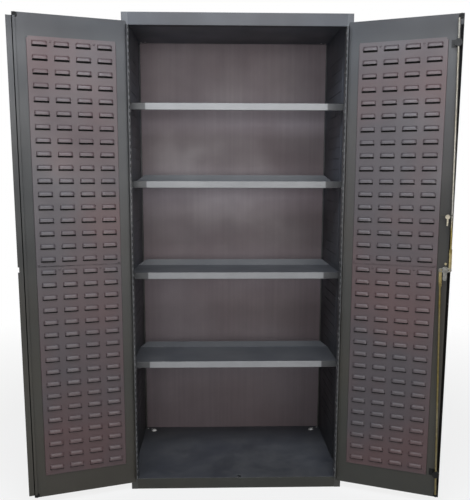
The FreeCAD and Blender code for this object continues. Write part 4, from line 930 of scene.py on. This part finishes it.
    def plated(self, name, colour, tinge, tinge_amount, dirt, metallic, rough=(0.28, 0.46), yellow_below=None):
        material, work = new_material(name)
        if yellow_below:
            height = work.part(work.place(), "Z")
            tinge_amount = work.span(height, yellow_below - 0.04, yellow_below + 0.04, 0.9, tinge_amount)
        tone, coat = self.coated(work, self.plating, {
            "Colour": tuple(colour), "Tinge": tuple(tinge), "Tinge Amount": tinge_amount, "Dirt": dirt,
            "Rough Low": rough[0], "Rough High": rough[1],
        })
        rubbed = work.group(self.wear, {"Amount": 0.4, "Radius": 0.0006})
        closed(work, work.mix(rubbed, tone, work.scaled(tone, 1.4)), coat, metallic=metallic)
        return material

    def moulded(self, name, colour, roughness):
        material, work = new_material(name)
        tone, coat = self.coated(work, self.film, {
            "Colour": tuple(colour), "Drift Colour": tuple(c * 1.5 for c in colour),
            "Drift Size": 0.02, "Drift Amount": 0.6, "Peel Size": 0.0012, "Peel Depth": 0.35,
            "Gloss Low": roughness - 0.08, "Gloss High": roughness + 0.08,
        })
        rubbed = work.group(self.wear, {"Amount": 0.5, "Radius": 0.0008, "Patch Size": 0.01})
        pale = tuple(min(1.0, c * 4 + 0.02) for c in colour)
        closed(work, work.mix(rubbed, tone, pale), coat, specular=0.25)
        return material


made = {}


def finishes():
    if "finishes" not in made:
        made["finishes"] = Finishes(bpy.context.scene.cabinet_finish)
    return made["finishes"]


def repainted(item, finish, chosen):
    """Gives the chosen faces of a piece a second finish."""
    item.data.materials.append(finish)
    for face in item.data.polygons:
        if chosen(face):
            face.material_index = 1


def repeated(name, tree, shape, values):
    """Rows of one shape. The shape itself isn't kept."""
    item = grown(name, tree, {"Shape": shape, **values})
    bpy.data.objects.remove(shape)
    return item


# Pieces

class CABINET_OT_stage(bpy.types.Operator):
    """Camera, lamps, floor and surroundings"""

    bl_idname = "cabinet.stage"
    bl_label = "Stage"

    def execute(self, context):
        settings = context.scene.cabinet_stage
        scene = context.scene
        scene.view_settings.view_transform = "Standard"
        self.camera(scene)
        self.surroundings(scene, settings)
        self.floor(settings)
        cool = (0.88, 0.94, 1.0)
        warm = (1.0, 0.98, 0.95)
        self.lamp("key lamp", (-0.2, -1.9, 2.9), (0.0, -0.1, 1.5), (2.2, 1.0), settings.key_power, cool)
        self.lamp("front fill", (1.4, -4.2, 1.6), (0.0, 0.0, 1.1), (1.6, 1.6), settings.fill_power, warm)
        self.lamp("middle fill", (-0.3, -3.4, 1.5), (0.0, 0.0, 1.3), (1.2, 1.0), settings.middle_power)
        self.lamp("left fill", (-4.0, 0.6, 2.2), (0.0, 0.0, 1.0), (2.0, 2.4), settings.side_power)
        self.lamp("right fill", (4.0, 0.6, 2.2), (0.0, 0.0, 1.0), (2.0, 2.4), settings.side_power)
        self.lamp("rear fill", (0.4, 4.2, 2.6), (0.0, 0.0, 1.0), (2.6, 2.0), settings.rear_power)
        return {"FINISHED"}

    def camera(self, scene):
        data = bpy.data.cameras.new("view")
        camera = made_object("view", data)
        pitch, yaw, roll = (math.radians(v) for v in VIEW_TURN)
        ahead = Vector((math.sin(yaw) * math.cos(pitch), math.cos(yaw) * math.cos(pitch), -math.sin(pitch)))
        level = Vector((math.cos(yaw), -math.sin(yaw), 0))
        above = level.cross(ahead)
        across = level * math.cos(roll) + above * math.sin(roll)
        up = above * math.cos(roll) - level * math.sin(roll)
        turn = Matrix((across, up, -ahead)).transposed().to_4x4()
        camera.matrix_world = Matrix.Translation(VIEW_PLACE) @ turn
        data.sensor_fit = "AUTO"
        data.sensor_width = SENSOR
        data.lens = VIEW_FOCAL * SENSOR / VIEW_TALL
        data.shift_x = (VIEW_WIDE / 2 - VIEW_MIDDLE[0]) / VIEW_TALL
        data.shift_y = (VIEW_MIDDLE[1] - VIEW_TALL / 2) / VIEW_TALL
        data.clip_start = 0.05
        data.clip_end = 100
        scene.camera = camera

    def surroundings(self, scene, settings):
        world = bpy.data.worlds.new("surroundings")
        scene.world = world
        world.use_nodes = True
        world.node_tree.nodes.clear()
        work = Tree(world.node_tree)
        rays = work.add("ShaderNodeLightPath").outputs
        seen = work.most(rays["Is Camera Ray"], rays["Is Transmission Ray"])
        depth = work.part(work.add("ShaderNodeTexCoord").outputs["Generated"], "Y")
        in_front = work.span(depth, -0.9, 0.3, 0.40, 0.04)
        strength = work.most(seen, work.times(rays["Is Glossy Ray"], in_front))
        strength = work.most(strength, settings.ambient)
        white = work.add("ShaderNodeBackground", {"Color": (1.0, 1.0, 1.0), "Strength": strength})
        work.add("ShaderNodeOutputWorld", {"Surface": white})

    def floor(self, settings):
        """Pale floor that fades into the white surroundings away from the cabinet."""
        shape = bmesh.new()
        bmesh.ops.create_grid(shape, x_segments=2, y_segments=2, size=30)
        item = from_bmesh("studio_floor", shape)
        material, work = new_material("Pale floor")
        place = work.place()
        tone = work.scaled(tuple(settings.floor), work.span(work.noise(place, 3.0), 0.3, 0.7, 0.985, 1.0))
        matt = work.add("ShaderNodeBsdfPrincipled", {
            "Base Color": tone, "Roughness": 0.9, "Specular IOR Level": 0.1,
        })
        glow = work.add("ShaderNodeEmission", {"Color": (1.0, 1.0, 1.0), "Strength": 1.0})
        x = work.part(place, "X")
        y = work.part(place, "Y")
        away = work.math("SQRT", work.plus(work.math("POWER", x, 2.0), work.math("POWER", y, 2.0)))
        far = work.span(away, 1.4, 3.6, 0.80, 1.0)
        under = work.times(*(work.below(work.magnitude(v), half) for v, half in zip((x, y), FOOTPRINT)))
        seen = work.add("ShaderNodeLightPath").outputs["Is Camera Ray"]
        share = work.times(seen, far, work.rest(under))
        blend = work.add("ShaderNodeMixShader", {0: share, 1: matt, 2: glow})
        work.add("ShaderNodeOutputMaterial", {"Surface": blend})
        item.data.materials.append(material)

    def lamp(self, name, place, aim, size, power, colour=(1.0, 1.0, 1.0)):
        data = bpy.data.lights.new(name, "AREA")
        data.color = colour
        data.shape = "RECTANGLE"
        data.size, data.size_y = size
        data.energy = power
        lamp = made_object(name, data)
        ahead = (Vector(aim) - Vector(place)).normalized()
        lamp.matrix_world = Matrix.Translation(place) @ ahead.to_track_quat("-Z", "Y").to_matrix().to_4x4()


class CABINET_OT_carcass(bpy.types.Operator):
    """Side walls, back, roof, header, floor, sill and base channel"""

    bl_idname = "cabinet.carcass"
    bl_label = "Carcass"

    def execute(self, context):
        looks = finishes()
        plan = (
            ("left_side_panel", 0.0022, looks.stile),
            ("right_side_panel", 0.0022, looks.stile),
            ("back_panel", 0.0015, looks.back),
            ("top_panel", 0.0015, looks.side),
            ("header", 0.0022, looks.paint),
            ("floor_panel", 0.0015, looks.floor),
            ("sill", 0.0022, looks.sill),
            ("base_channel", 0.002, looks.paint),
        )
        for node, fold, finish in plan:
            item = dressed(node, "cabinet", "cabinet_paint", finish, fold)
            if node.endswith("side_panel"):
                # Inner faces of the side walls get the side wall paint, with its painted shade by height.
                repainted(item, looks.side, self.is_inner_wall)
            if node == "back_panel":
                repainted(item, looks.paint, lambda face: face.normal.y > 0.9)
        return {"FINISHED"}

    def is_inner_wall(self, face):
        across = face.center.x
        return abs(across) > WALL_NEAR and face.normal.x * across < 0 and abs(face.normal.x) > 0.9


class CABINET_OT_slot_strips(bpy.types.Operator):
    """Slotted strips on the side walls that carry the shelves"""

    bl_idname = "cabinet.slot_strips"
    bl_label = "Slotted strips"

    def execute(self, context):
        s = context.scene.cabinet_fasteners
        tree = slotted_tree()
        for side in (LEFT, RIGHT):
            self.strip(side, s, tree)
        return {"FINISHED"}

    def strip(self, side, s, tree):
        node = SIDE_NAME[side] + "_slot_strip"
        low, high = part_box(node)
        item = grown(node + "_sheet", tree, {
            "Rows": s.slot_rows,
            "Row Pitch": s.slot_pitch,
            "Cell Width": high.y - low.y,
            "Slot Length": s.slot_length,
            "Slot Height": s.slot_height,
            "Finish": finishes().side,
        })
        face = side * WALL_FACE
        item.data.transform(Matrix.Translation((face, (low.y + high.y) / 2, SLOT_TOP)))
        shape = to_bmesh(item)
        top = SLOT_TOP + s.slot_pitch / 2
        base = SLOT_TOP - (s.slot_rows - 0.5) * s.slot_pitch
        for old, new in ((top, high.z), (base, low.z)):
            corners = [shape.verts.new((face, y, z)) for y in (low.y, high.y) for z in (old, new)]
            shape.faces.new((corners[0], corners[1], corners[3], corners[2]))
        settled(shape)
        bmesh.ops.reverse_faces(shape, faces=[f for f in shape.faces if f.normal.x * side > 0])
        put_back(item, shape)
        thickened(item, STRIP_SHEET)
        smooth(item, 30)
        fitted(item, "cabinet", "cabinet_paint", finishes().side, node)


class CABINET_OT_shelves(bpy.types.Operator):
    """Four shelves with a bright front edge carrying painted highlight and painted shade, and their brackets"""

    bl_idname = "cabinet.shelves"
    bl_label = "Shelves"

    def execute(self, context):
        looks = finishes()
        for number in range(1, 5):
            node = "shelf_%d" % number
            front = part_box(node)[0].y + 0.0024
            item = dressed(node, "cabinet", "cabinet_paint", looks.shelf, 0.0022, 0.0003)
            # Front faces get the lip paint, with its painted highlight and painted shade.
            repainted(item, looks.lip, lambda face: face.center.y < front and face.normal.y < -0.25)
        dressed("shelf_brackets", "cabinet", "zinc", looks.side, edge=0.0003)
        return {"FINISHED"}


class CABINET_OT_fasteners(bpy.types.Operator):
    """Rivets of the hinge leaves, floor bolts and corner studs"""

    bl_idname = "cabinet.fasteners"
    bl_label = "Fasteners"

    def execute(self, context):
        s = context.scene.cabinet_fasteners
        looks = finishes()
        tree = lined_up_tree()
        self.rivets(tree, looks, s)
        self.bolts(tree, looks)
        dressed("corner_studs", "cabinet", "zinc", looks.rivet, name="corner_stud_heads")
        return {"FINISHED"}

    def rivets(self, tree, looks, s):
        """Heads that lie flush in the frame leaves."""
        across, depth, top = RIVET_TOP
        head = (
            (0, -0.0008), (0.0032, -0.0008), (0.0038, -0.00025), (0.0037, -0.00005), (0.0029, 0.0),
            (0.0016, 0.00002), (0, 0.00002),
        )
        parts = []
        for side in (LEFT, RIGHT):
            shape = bmesh.new()
            turned(shape, head, Matrix.Rotation(math.radians(-side * 90), 4, "Y"), 12)
            settled(shape)
            parts.append(repeated("rivets", tree, from_bmesh("rivet head", shape), {
                "Start": (side * across, depth, top),
                "Step": (0, 0, -s.rivet_pitch),
                "Count": s.rivets,
                "Rows": 1,
                "Finish": looks.rivet,
            }))
        fitted(joined_piece(parts, "hinge_leaf_rivets"), "cabinet", "zinc", looks.rivet, "frame_leaf_rivets")

    def bolts(self, tree, looks):
        """Two bolts with washers at the rear of the floor."""
        low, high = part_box("floor_bolts")
        radius = 0.013
        washer = ((0, 0.0), (radius, 0.0), (radius, 0.0008), (0.0126, 0.0012), (0.0095, 0.0012), (0, 0.0012))
        head = (
            (0, 0.001), (0.0088, 0.001), (0.009, 0.0014), (0.009, 0.0048), (0.0082, 0.0058),
            (0.0055, 0.0062), (0, 0.0059),
        )
        shape = bmesh.new()
        turned(shape, washer, Matrix.Identity(4), 28)
        turned(shape, head, Matrix.Identity(4), 6)
        settled(shape)
        item = repeated("bolts", tree, from_bmesh("bolt", shape), {
            "Start": (low.x + radius, (low.y + high.y) / 2, low.z),
            "Step": (high.x - low.x - 2 * radius, 0, 0),
            "Count": 2,
            "Rows": 1,
            "Finish": looks.rivet,
        })
        smooth(item, 40)
        fitted(item, "cabinet", "zinc", looks.rivet, "floor_bolts")


class CABINET_OT_hinges(bpy.types.Operator):
    """Continuous hinges: leaves, rolled knuckles and pins"""

    bl_idname = "cabinet.hinges"
    bl_label = "Hinges"

    def execute(self, context):
        s = context.scene.cabinet_fasteners
        tree = knuckle_tree()
        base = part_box("left_hinge_pin")[0].z
        for side in (LEFT, RIGHT):
            name = SIDE_NAME[side]
            self.leaf(side, "frame_leaf", "cabinet", base, s, tree)
            self.leaf(side, "door_leaf", name + "_door", base, s, tree)
            pin = name + "_hinge_pin"
            dressed(pin, "cabinet", "cabinet_paint", finishes().hinge, edge=0.0003, name=name + "_hinge_rod")
        return {"FINISHED"}

    def leaf(self, side, leaf, body, base, s, tree):
        """One leaf with its knuckles. Those of the door leaf start one place higher."""
        looks = finishes()
        on_frame = leaf == "frame_leaf"
        node = "%s_hinge_%s" % (SIDE_NAME[side], leaf)
        first = base + (0.5 if on_frame else 1.5) * s.knuckle_pitch
        knuckles = grown("knuckles", tree, {
            "Count": s.knuckles // 2,
            "Pitch": 2 * s.knuckle_pitch,
            "Length": s.knuckle_pitch - KNUCKLE_GAP,
            "Radius": KNUCKLE_RADIUS,
            "Start": (side * PIN_ACROSS, PIN_DEPTH, first),
            "Finish": looks.knuckle if on_frame else looks.hinge,
        })
        plate = self.plate(side, on_frame, base, base + s.knuckles * s.knuckle_pitch)
        plate.data.materials.append(looks.hinge)
        item = joined_piece([knuckles, plate], node + "_rolled")
        smooth(item, 40)
        fitted(item, body, "cabinet_paint", None, node)

    def plate(self, side, on_frame, base, top):
        """Flat part of a leaf."""
        if on_frame:
            far = REVEAL + LEAF_SHEET
            flat = ((REVEAL, LEAF_REAR), (REVEAL, LEAF_FRONT), (far, LEAF_FRONT), (far, LEAF_REAR))
            corners = [(side * x, y) for x, y in flat]
        else:
            points = [door_matrix(side) @ Vector((-side * w * MM, e * MM, 0)) for w, e in DOOR_LEAF]
            corners = [(p.x, p.y) for p in points]
        shape = bmesh.new()
        low = [shape.verts.new((x, y, base + 0.0002)) for x, y in corners]
        high = [shape.verts.new((x, y, top - 0.0002)) for x, y in corners]
        shape.faces.new(low)
        shape.faces.new(high)
        walled(shape, low, high)
        settled(shape)
        bevelled(shape, shape.edges[:], 0.0003, 2, clamp=False)
        return from_bmesh("plate", shape)


class CABINET_OT_doors(bpy.types.Operator):
    """Door sheets, meeting strip and rubber bumpers"""

    bl_idname = "cabinet.doors"
    bl_label = "Doors"

    def execute(self, context):
        looks = finishes()
        for side, paint in ((LEFT, looks.door), (RIGHT, looks.right_door)):
            name = SIDE_NAME[side]
            dressed(name + "_door_panel", name + "_door", "cabinet_paint", paint, 0.0022)
            self.bumpers(side, looks)
        dressed("left_astragal", "left_door", "cabinet_paint", looks.astragal, edge=0.0005)
        return {"FINISHED"}

    def bumpers(self, side, looks):
        """Round rubber bumpers with a moulded rim, near the corners of the free edge."""
        profile = (
            (0, 0.0), (0.0096, 0.0), (0.01, 0.0006), (0.0099, 0.0028), (0.0092, 0.0038),
            (0.008, 0.0042), (0.0058, 0.0041), (0.0046, 0.0034), (0.0028, 0.0031),
            (0.0022, 0.0036), (0.0012, 0.004), (0, 0.0041),
        )
        shape = bmesh.new()
        across = DOOR_WIDTH[side] / MM - 10
        for height in BUMPER_HEIGHTS:
            turned(shape, profile, to_door(side, across, 0, height), 28)
        settled(shape)
        node = SIDE_NAME[side] + "_bumpers"
        item = from_bmesh(node + "_rubber", shape)
        smooth(item, 60)
        fitted(item, SIDE_NAME[side] + "_door", "bumper_rubber", looks.rubber, node)


class CABINET_OT_louvres(bpy.types.Operator):
    """Two louvred panels on each door"""

    bl_idname = "cabinet.louvres"
    bl_label = "Louvred panels"

    def execute(self, context):
        s = context.scene.cabinet_louvres
        tree = louvre_tree()
        for side in (LEFT, RIGHT):
            for level, base in PANEL_BASE.items():
                self.panel(side, "%s_%s_louvre_panel" % (SIDE_NAME[side], level), base, s, tree)
        return {"FINISHED"}

    def panel(self, side, node, base, s, tree):
        item = grown(node + "_sheet", tree, {
            "Columns": s.columns,
            "Rows": s.rows,
            "Column Pitch": s.column_pitch,
            "Row Pitch": s.row_pitch,
            "Louvre Width": s.width,
            "Louvre Height": s.height,
            "Opening": s.opening,
            "Lift": s.lift,
            "Corner": s.corner,
            "Finish": finishes().panel,
        })
        outer = (PANEL_NEAR, PANEL_FAR, base, base + PANEL_TALL)
        across = PANEL_NEAR + FIRST_COLUMN + (s.columns - 1) / 2 * s.column_pitch
        rows_middle = base + FIRST_ROW + (s.rows - 1) / 2 * s.row_pitch
        item.data.transform(Matrix.Translation((-side * across, PANEL_FACE, rows_middle)))
        middle = rows_middle + (s.height - s.opening) / 2
        half_wide = s.columns * s.column_pitch / 2
        half_tall = s.rows * s.row_pitch / 2
        field = (across - half_wide, across + half_wide, middle - half_tall, middle + half_tall)
        item = joined_piece([item, self.rim(side, outer, field)], node + "_sheet")
        shape = to_bmesh(item)
        bmesh.ops.remove_doubles(shape, verts=shape.verts[:], dist=CELL_WELD)
        put_back(item, shape)
        thickened(item, s.sheet)
        smooth(item, 42)
        item.data.materials.clear()
        item.data.materials.append(finishes().panel)
        # Joins the near-black sheet of painted shade behind the louvres.
        item = joined_piece([item, self.shade(side, outer)], node + "_sheet")
        item.data.transform(door_matrix(side))
        fitted(item, SIDE_NAME[side] + "_door", "panel_paint", None, node)

    def shade(self, side, outer):
        """Painted shade: a near-black sheet behind the louvres, seen through their openings, standing in for
        the shade in the hollow.
        """
        near, far, low, high = outer
        inset = 0.006
        sheet = 0.0012
        shape = bmesh.new()
        bmesh.ops.create_cube(shape, size=1.0)
        middle = Matrix.Translation((-side * (near + far) / 2, sheet, (low + high) / 2))
        size = Matrix.Diagonal((far - near - 2 * inset, sheet, high - low - 2 * inset, 1.0))
        bmesh.ops.transform(shape, matrix=middle @ size, verts=shape.verts[:])
        item = from_bmesh("hollow", shape)
        item.data.materials.append(finishes().hollow)
        return item

    def rim(self, side, outer, field):
        """Flat margin round the louvres and the rim folded back to the door."""
        near, far, low, high = outer
        bend = 0.0018
        loops = [(field[0], field[1], max(field[2], low + bend), min(field[3], high - bend), PANEL_FACE)]
        for k in range(5):
            a = math.pi / 2 * k / 4
            inset = bend * (1 - math.sin(a))
            depth = PANEL_FACE - bend * (1 - math.cos(a))
            loops.append((near + inset, far - inset, low + inset, high - inset, depth))
        loops.append((near, far, low, high, 0.0))
        shape = bmesh.new()
        rings = []
        for w0, w1, z0, z1, depth in loops:
            corners = ((w0, z0), (w1, z0), (w1, z1), (w0, z1))
            rings.append([shape.verts.new((-side * w, depth, z)) for w, z in corners])
        for inner_ring, outer_ring in zip(rings, rings[1:]):
            walled(shape, inner_ring, outer_ring)
        shape.normal_update()
        if sum(f.normal.y * f.calc_area() for f in shape.faces) < 0:
            bmesh.ops.reverse_faces(shape, faces=shape.faces[:])
        return from_bmesh("rim", shape)


class CABINET_OT_panel_screws(bpy.types.Operator):
    """Screws that hold the louvred panels"""

    bl_idname = "cabinet.panel_screws"
    bl_label = "Panel screws"

    def execute(self, context):
        looks = finishes()
        tree = lined_up_tree()
        for side in (LEFT, RIGHT):
            screw = self.screw()
            parts = []
            for across, height, step in SCREW_PAIRS:
                parts.append(grown("screws", tree, {
                    "Shape": screw,
                    "Start": (-side * across * MM, PANEL_FACE, height * MM),
                    "Step": (-side * step * MM, 0, 0),
                    "Count": 2,
                    "Row Step": (0, 0, PANEL_PITCH),
                    "Rows": 2,
                    "Finish": looks.panel,
                }))
            bpy.data.objects.remove(screw)
            node = SIDE_NAME[side] + "_panel_screws"
            item = joined_piece(parts, node + "_heads")
            item.data.transform(door_matrix(side))
            smooth(item, 40)
            fitted(item, SIDE_NAME[side] + "_door", "panel_paint", looks.panel, node)
        return {"FINISHED"}

    def screw(self):
        """Low domed head with a cross recess."""
        steps = 16
        turn = Matrix.Rotation(math.radians(-90), 4, "X")
        profile = ((0.0040, -0.0004), (0.0040, 0.0004), (0.0036, 0.0012), (0.0026, 0.0017), (0.0017, 0.00185))
        cross = (0.0013, 0.0008, 0.0004, 0.0008) * (steps // 4)
        shape = bmesh.new()
        rings = [ring(shape, turn, height, [radius] * steps) for radius, height in profile]
        rings.append(ring(shape, turn, 0.0009, cross))
        for low, high in zip(rings, rings[1:]):
            walled(shape, low, high)
        shape.faces.new(rings[-1])
        shape.faces.new(list(reversed(rings[0])))
        settled(shape)
        return from_bmesh("screw", shape)


class CABINET_OT_latch(bpy.types.Operator):
    """Cam, dog, spindle, nut, guides and link pins on the right door"""

    bl_idname = "cabinet.latch"
    bl_label = "Latch"

    def execute(self, context):
        looks = finishes()
        plan = (
            ("latch_cam", "handle", "latch_steel", looks.latch, 0.0005),
            ("latch_dog", "handle", "latch_steel", looks.latch, 0.0005),
            ("latch_spindle", "handle", "latch_steel", looks.latch, 0.0004),
            ("spindle_nut", "handle", "latch_steel", looks.latch, 0.0006),
            ("upper_guide_bracket", "right_door", "guide_black", looks.guide, 0.0006),
            ("lower_guide_bracket", "right_door", "guide_black", looks.guide, 0.0006),
            ("upper_guide_ball", "upper_ball", "guide_black", looks.guide, 0.0005),
            ("lower_guide_ball", "lower_ball", "guide_black", looks.guide, 0.0005),
            ("upper_link_pin", "upper_rod", "latch_steel", looks.latch, 0.0004),
            ("lower_link_pin", "lower_rod", "latch_steel", looks.latch, 0.0004),
        )
        for node, body, slot, finish, edge in plan:
            dressed(node, body, slot, finish, edge=edge, name=node + "_finished")
        return {"FINISHED"}


class CABINET_OT_rods(bpy.types.Operator):
    """Upper and lower latch rods"""

    bl_idname = "cabinet.rods"
    bl_label = "Latch rods"

    def execute(self, context):
        for node, finish in (("upper_rod", finishes().zinc), ("lower_rod", finishes().yellow)):
            dressed(node, node, "zinc", finish, edge=0.0006, name=node + "_plated")
        return {"FINISHED"}


class CABINET_OT_keys(bpy.types.Operator):
    """Keys and the tie that holds them to the upper rod"""

    bl_idname = "cabinet.keys"
    bl_label = "Keys"

    def execute(self, context):
        looks = finishes()
        dressed("keys", "upper_rod", "key_metal", looks.key, edge=0.0003, name="keys_cut")
        dressed("key_tie", "upper_rod", "tie_plastic", looks.tie, edge=0.0003, name="key_tie_band")
        return {"FINISHED"}


class CABINET_OT_handle(bpy.types.Operator):
    """Handle, its base, screws and lock on the outside of the right door"""

    bl_idname = "cabinet.handle"
    bl_label = "Handle"

    def execute(self, context):
        looks = finishes()
        plan = (
            ("handle_base", "_cast", "right_door", "handle_chrome", looks.chrome, 0.0015),
            ("handle_screws", "_turned", "right_door", "zinc", looks.zinc, 0.0004),
            ("handle_grip", "_cast", "handle", "handle_chrome", looks.chrome, 0.002),
            ("lock_cylinder", "_turned", "lock", "lock_steel", looks.key, 0.0004),
        )
        for node, ending, body, slot, finish, edge in plan:
            dressed(node, body, slot, finish, edge=edge, name=node + ending)
        return {"FINISHED"}


class CABINET_PT_pieces(bpy.types.Panel):
    """Steps that build the cabinet"""

    bl_label = "Cabinet"
    bl_idname = "CABINET_PT_pieces"
    bl_space_type = "VIEW_3D"
    bl_region_type = "UI"
    bl_category = "Cabinet"

    def draw(self, context):
        column = self.layout.column(align=True)
        for operator in OPERATORS:
            column.operator(operator.bl_idname)
        for name in ("cabinet_finish", "cabinet_louvres", "cabinet_fasteners", "cabinet_stage"):
            group = getattr(context.scene, name)
            box = self.layout.box()
            for key in group.bl_rna.properties.keys():
                if key not in ("rna_type", "name"):
                    box.prop(group, key)


OPERATORS = (
    CABINET_OT_stage,
    CABINET_OT_carcass,
    CABINET_OT_slot_strips,
    CABINET_OT_shelves,
    CABINET_OT_fasteners,
    CABINET_OT_hinges,
    CABINET_OT_doors,
    CABINET_OT_louvres,
    CABINET_OT_panel_screws,
    CABINET_OT_latch,
    CABINET_OT_rods,
    CABINET_OT_keys,
    CABINET_OT_handle,
)

SETTINGS = {
    "cabinet_finish": CABINET_PG_finish,
    "cabinet_louvres": CABINET_PG_louvres,
    "cabinet_fasteners": CABINET_PG_fasteners,
    "cabinet_stage": CABINET_PG_stage,
}


def register():
    for item in (*SETTINGS.values(), *OPERATORS, CABINET_PT_pieces):
        bpy.utils.register_class(item)
    for name, group in SETTINGS.items():
        setattr(bpy.types.Scene, name, PointerProperty(type=group))


def unregister():
    for name in SETTINGS:
        delattr(bpy.types.Scene, name)
    for item in reversed((*SETTINGS.values(), *OPERATORS, CABINET_PT_pieces)):
        bpy.utils.unregister_class(item)


def main():
    register()
    for operator in OPERATORS:
        step = getattr(bpy.ops.cabinet, operator.bl_idname.split(".")[1])
        if step() != {"FINISHED"}:
            raise RuntimeError("%s did not finish" % operator.bl_idname)


if __name__ == "__main__":
    main()
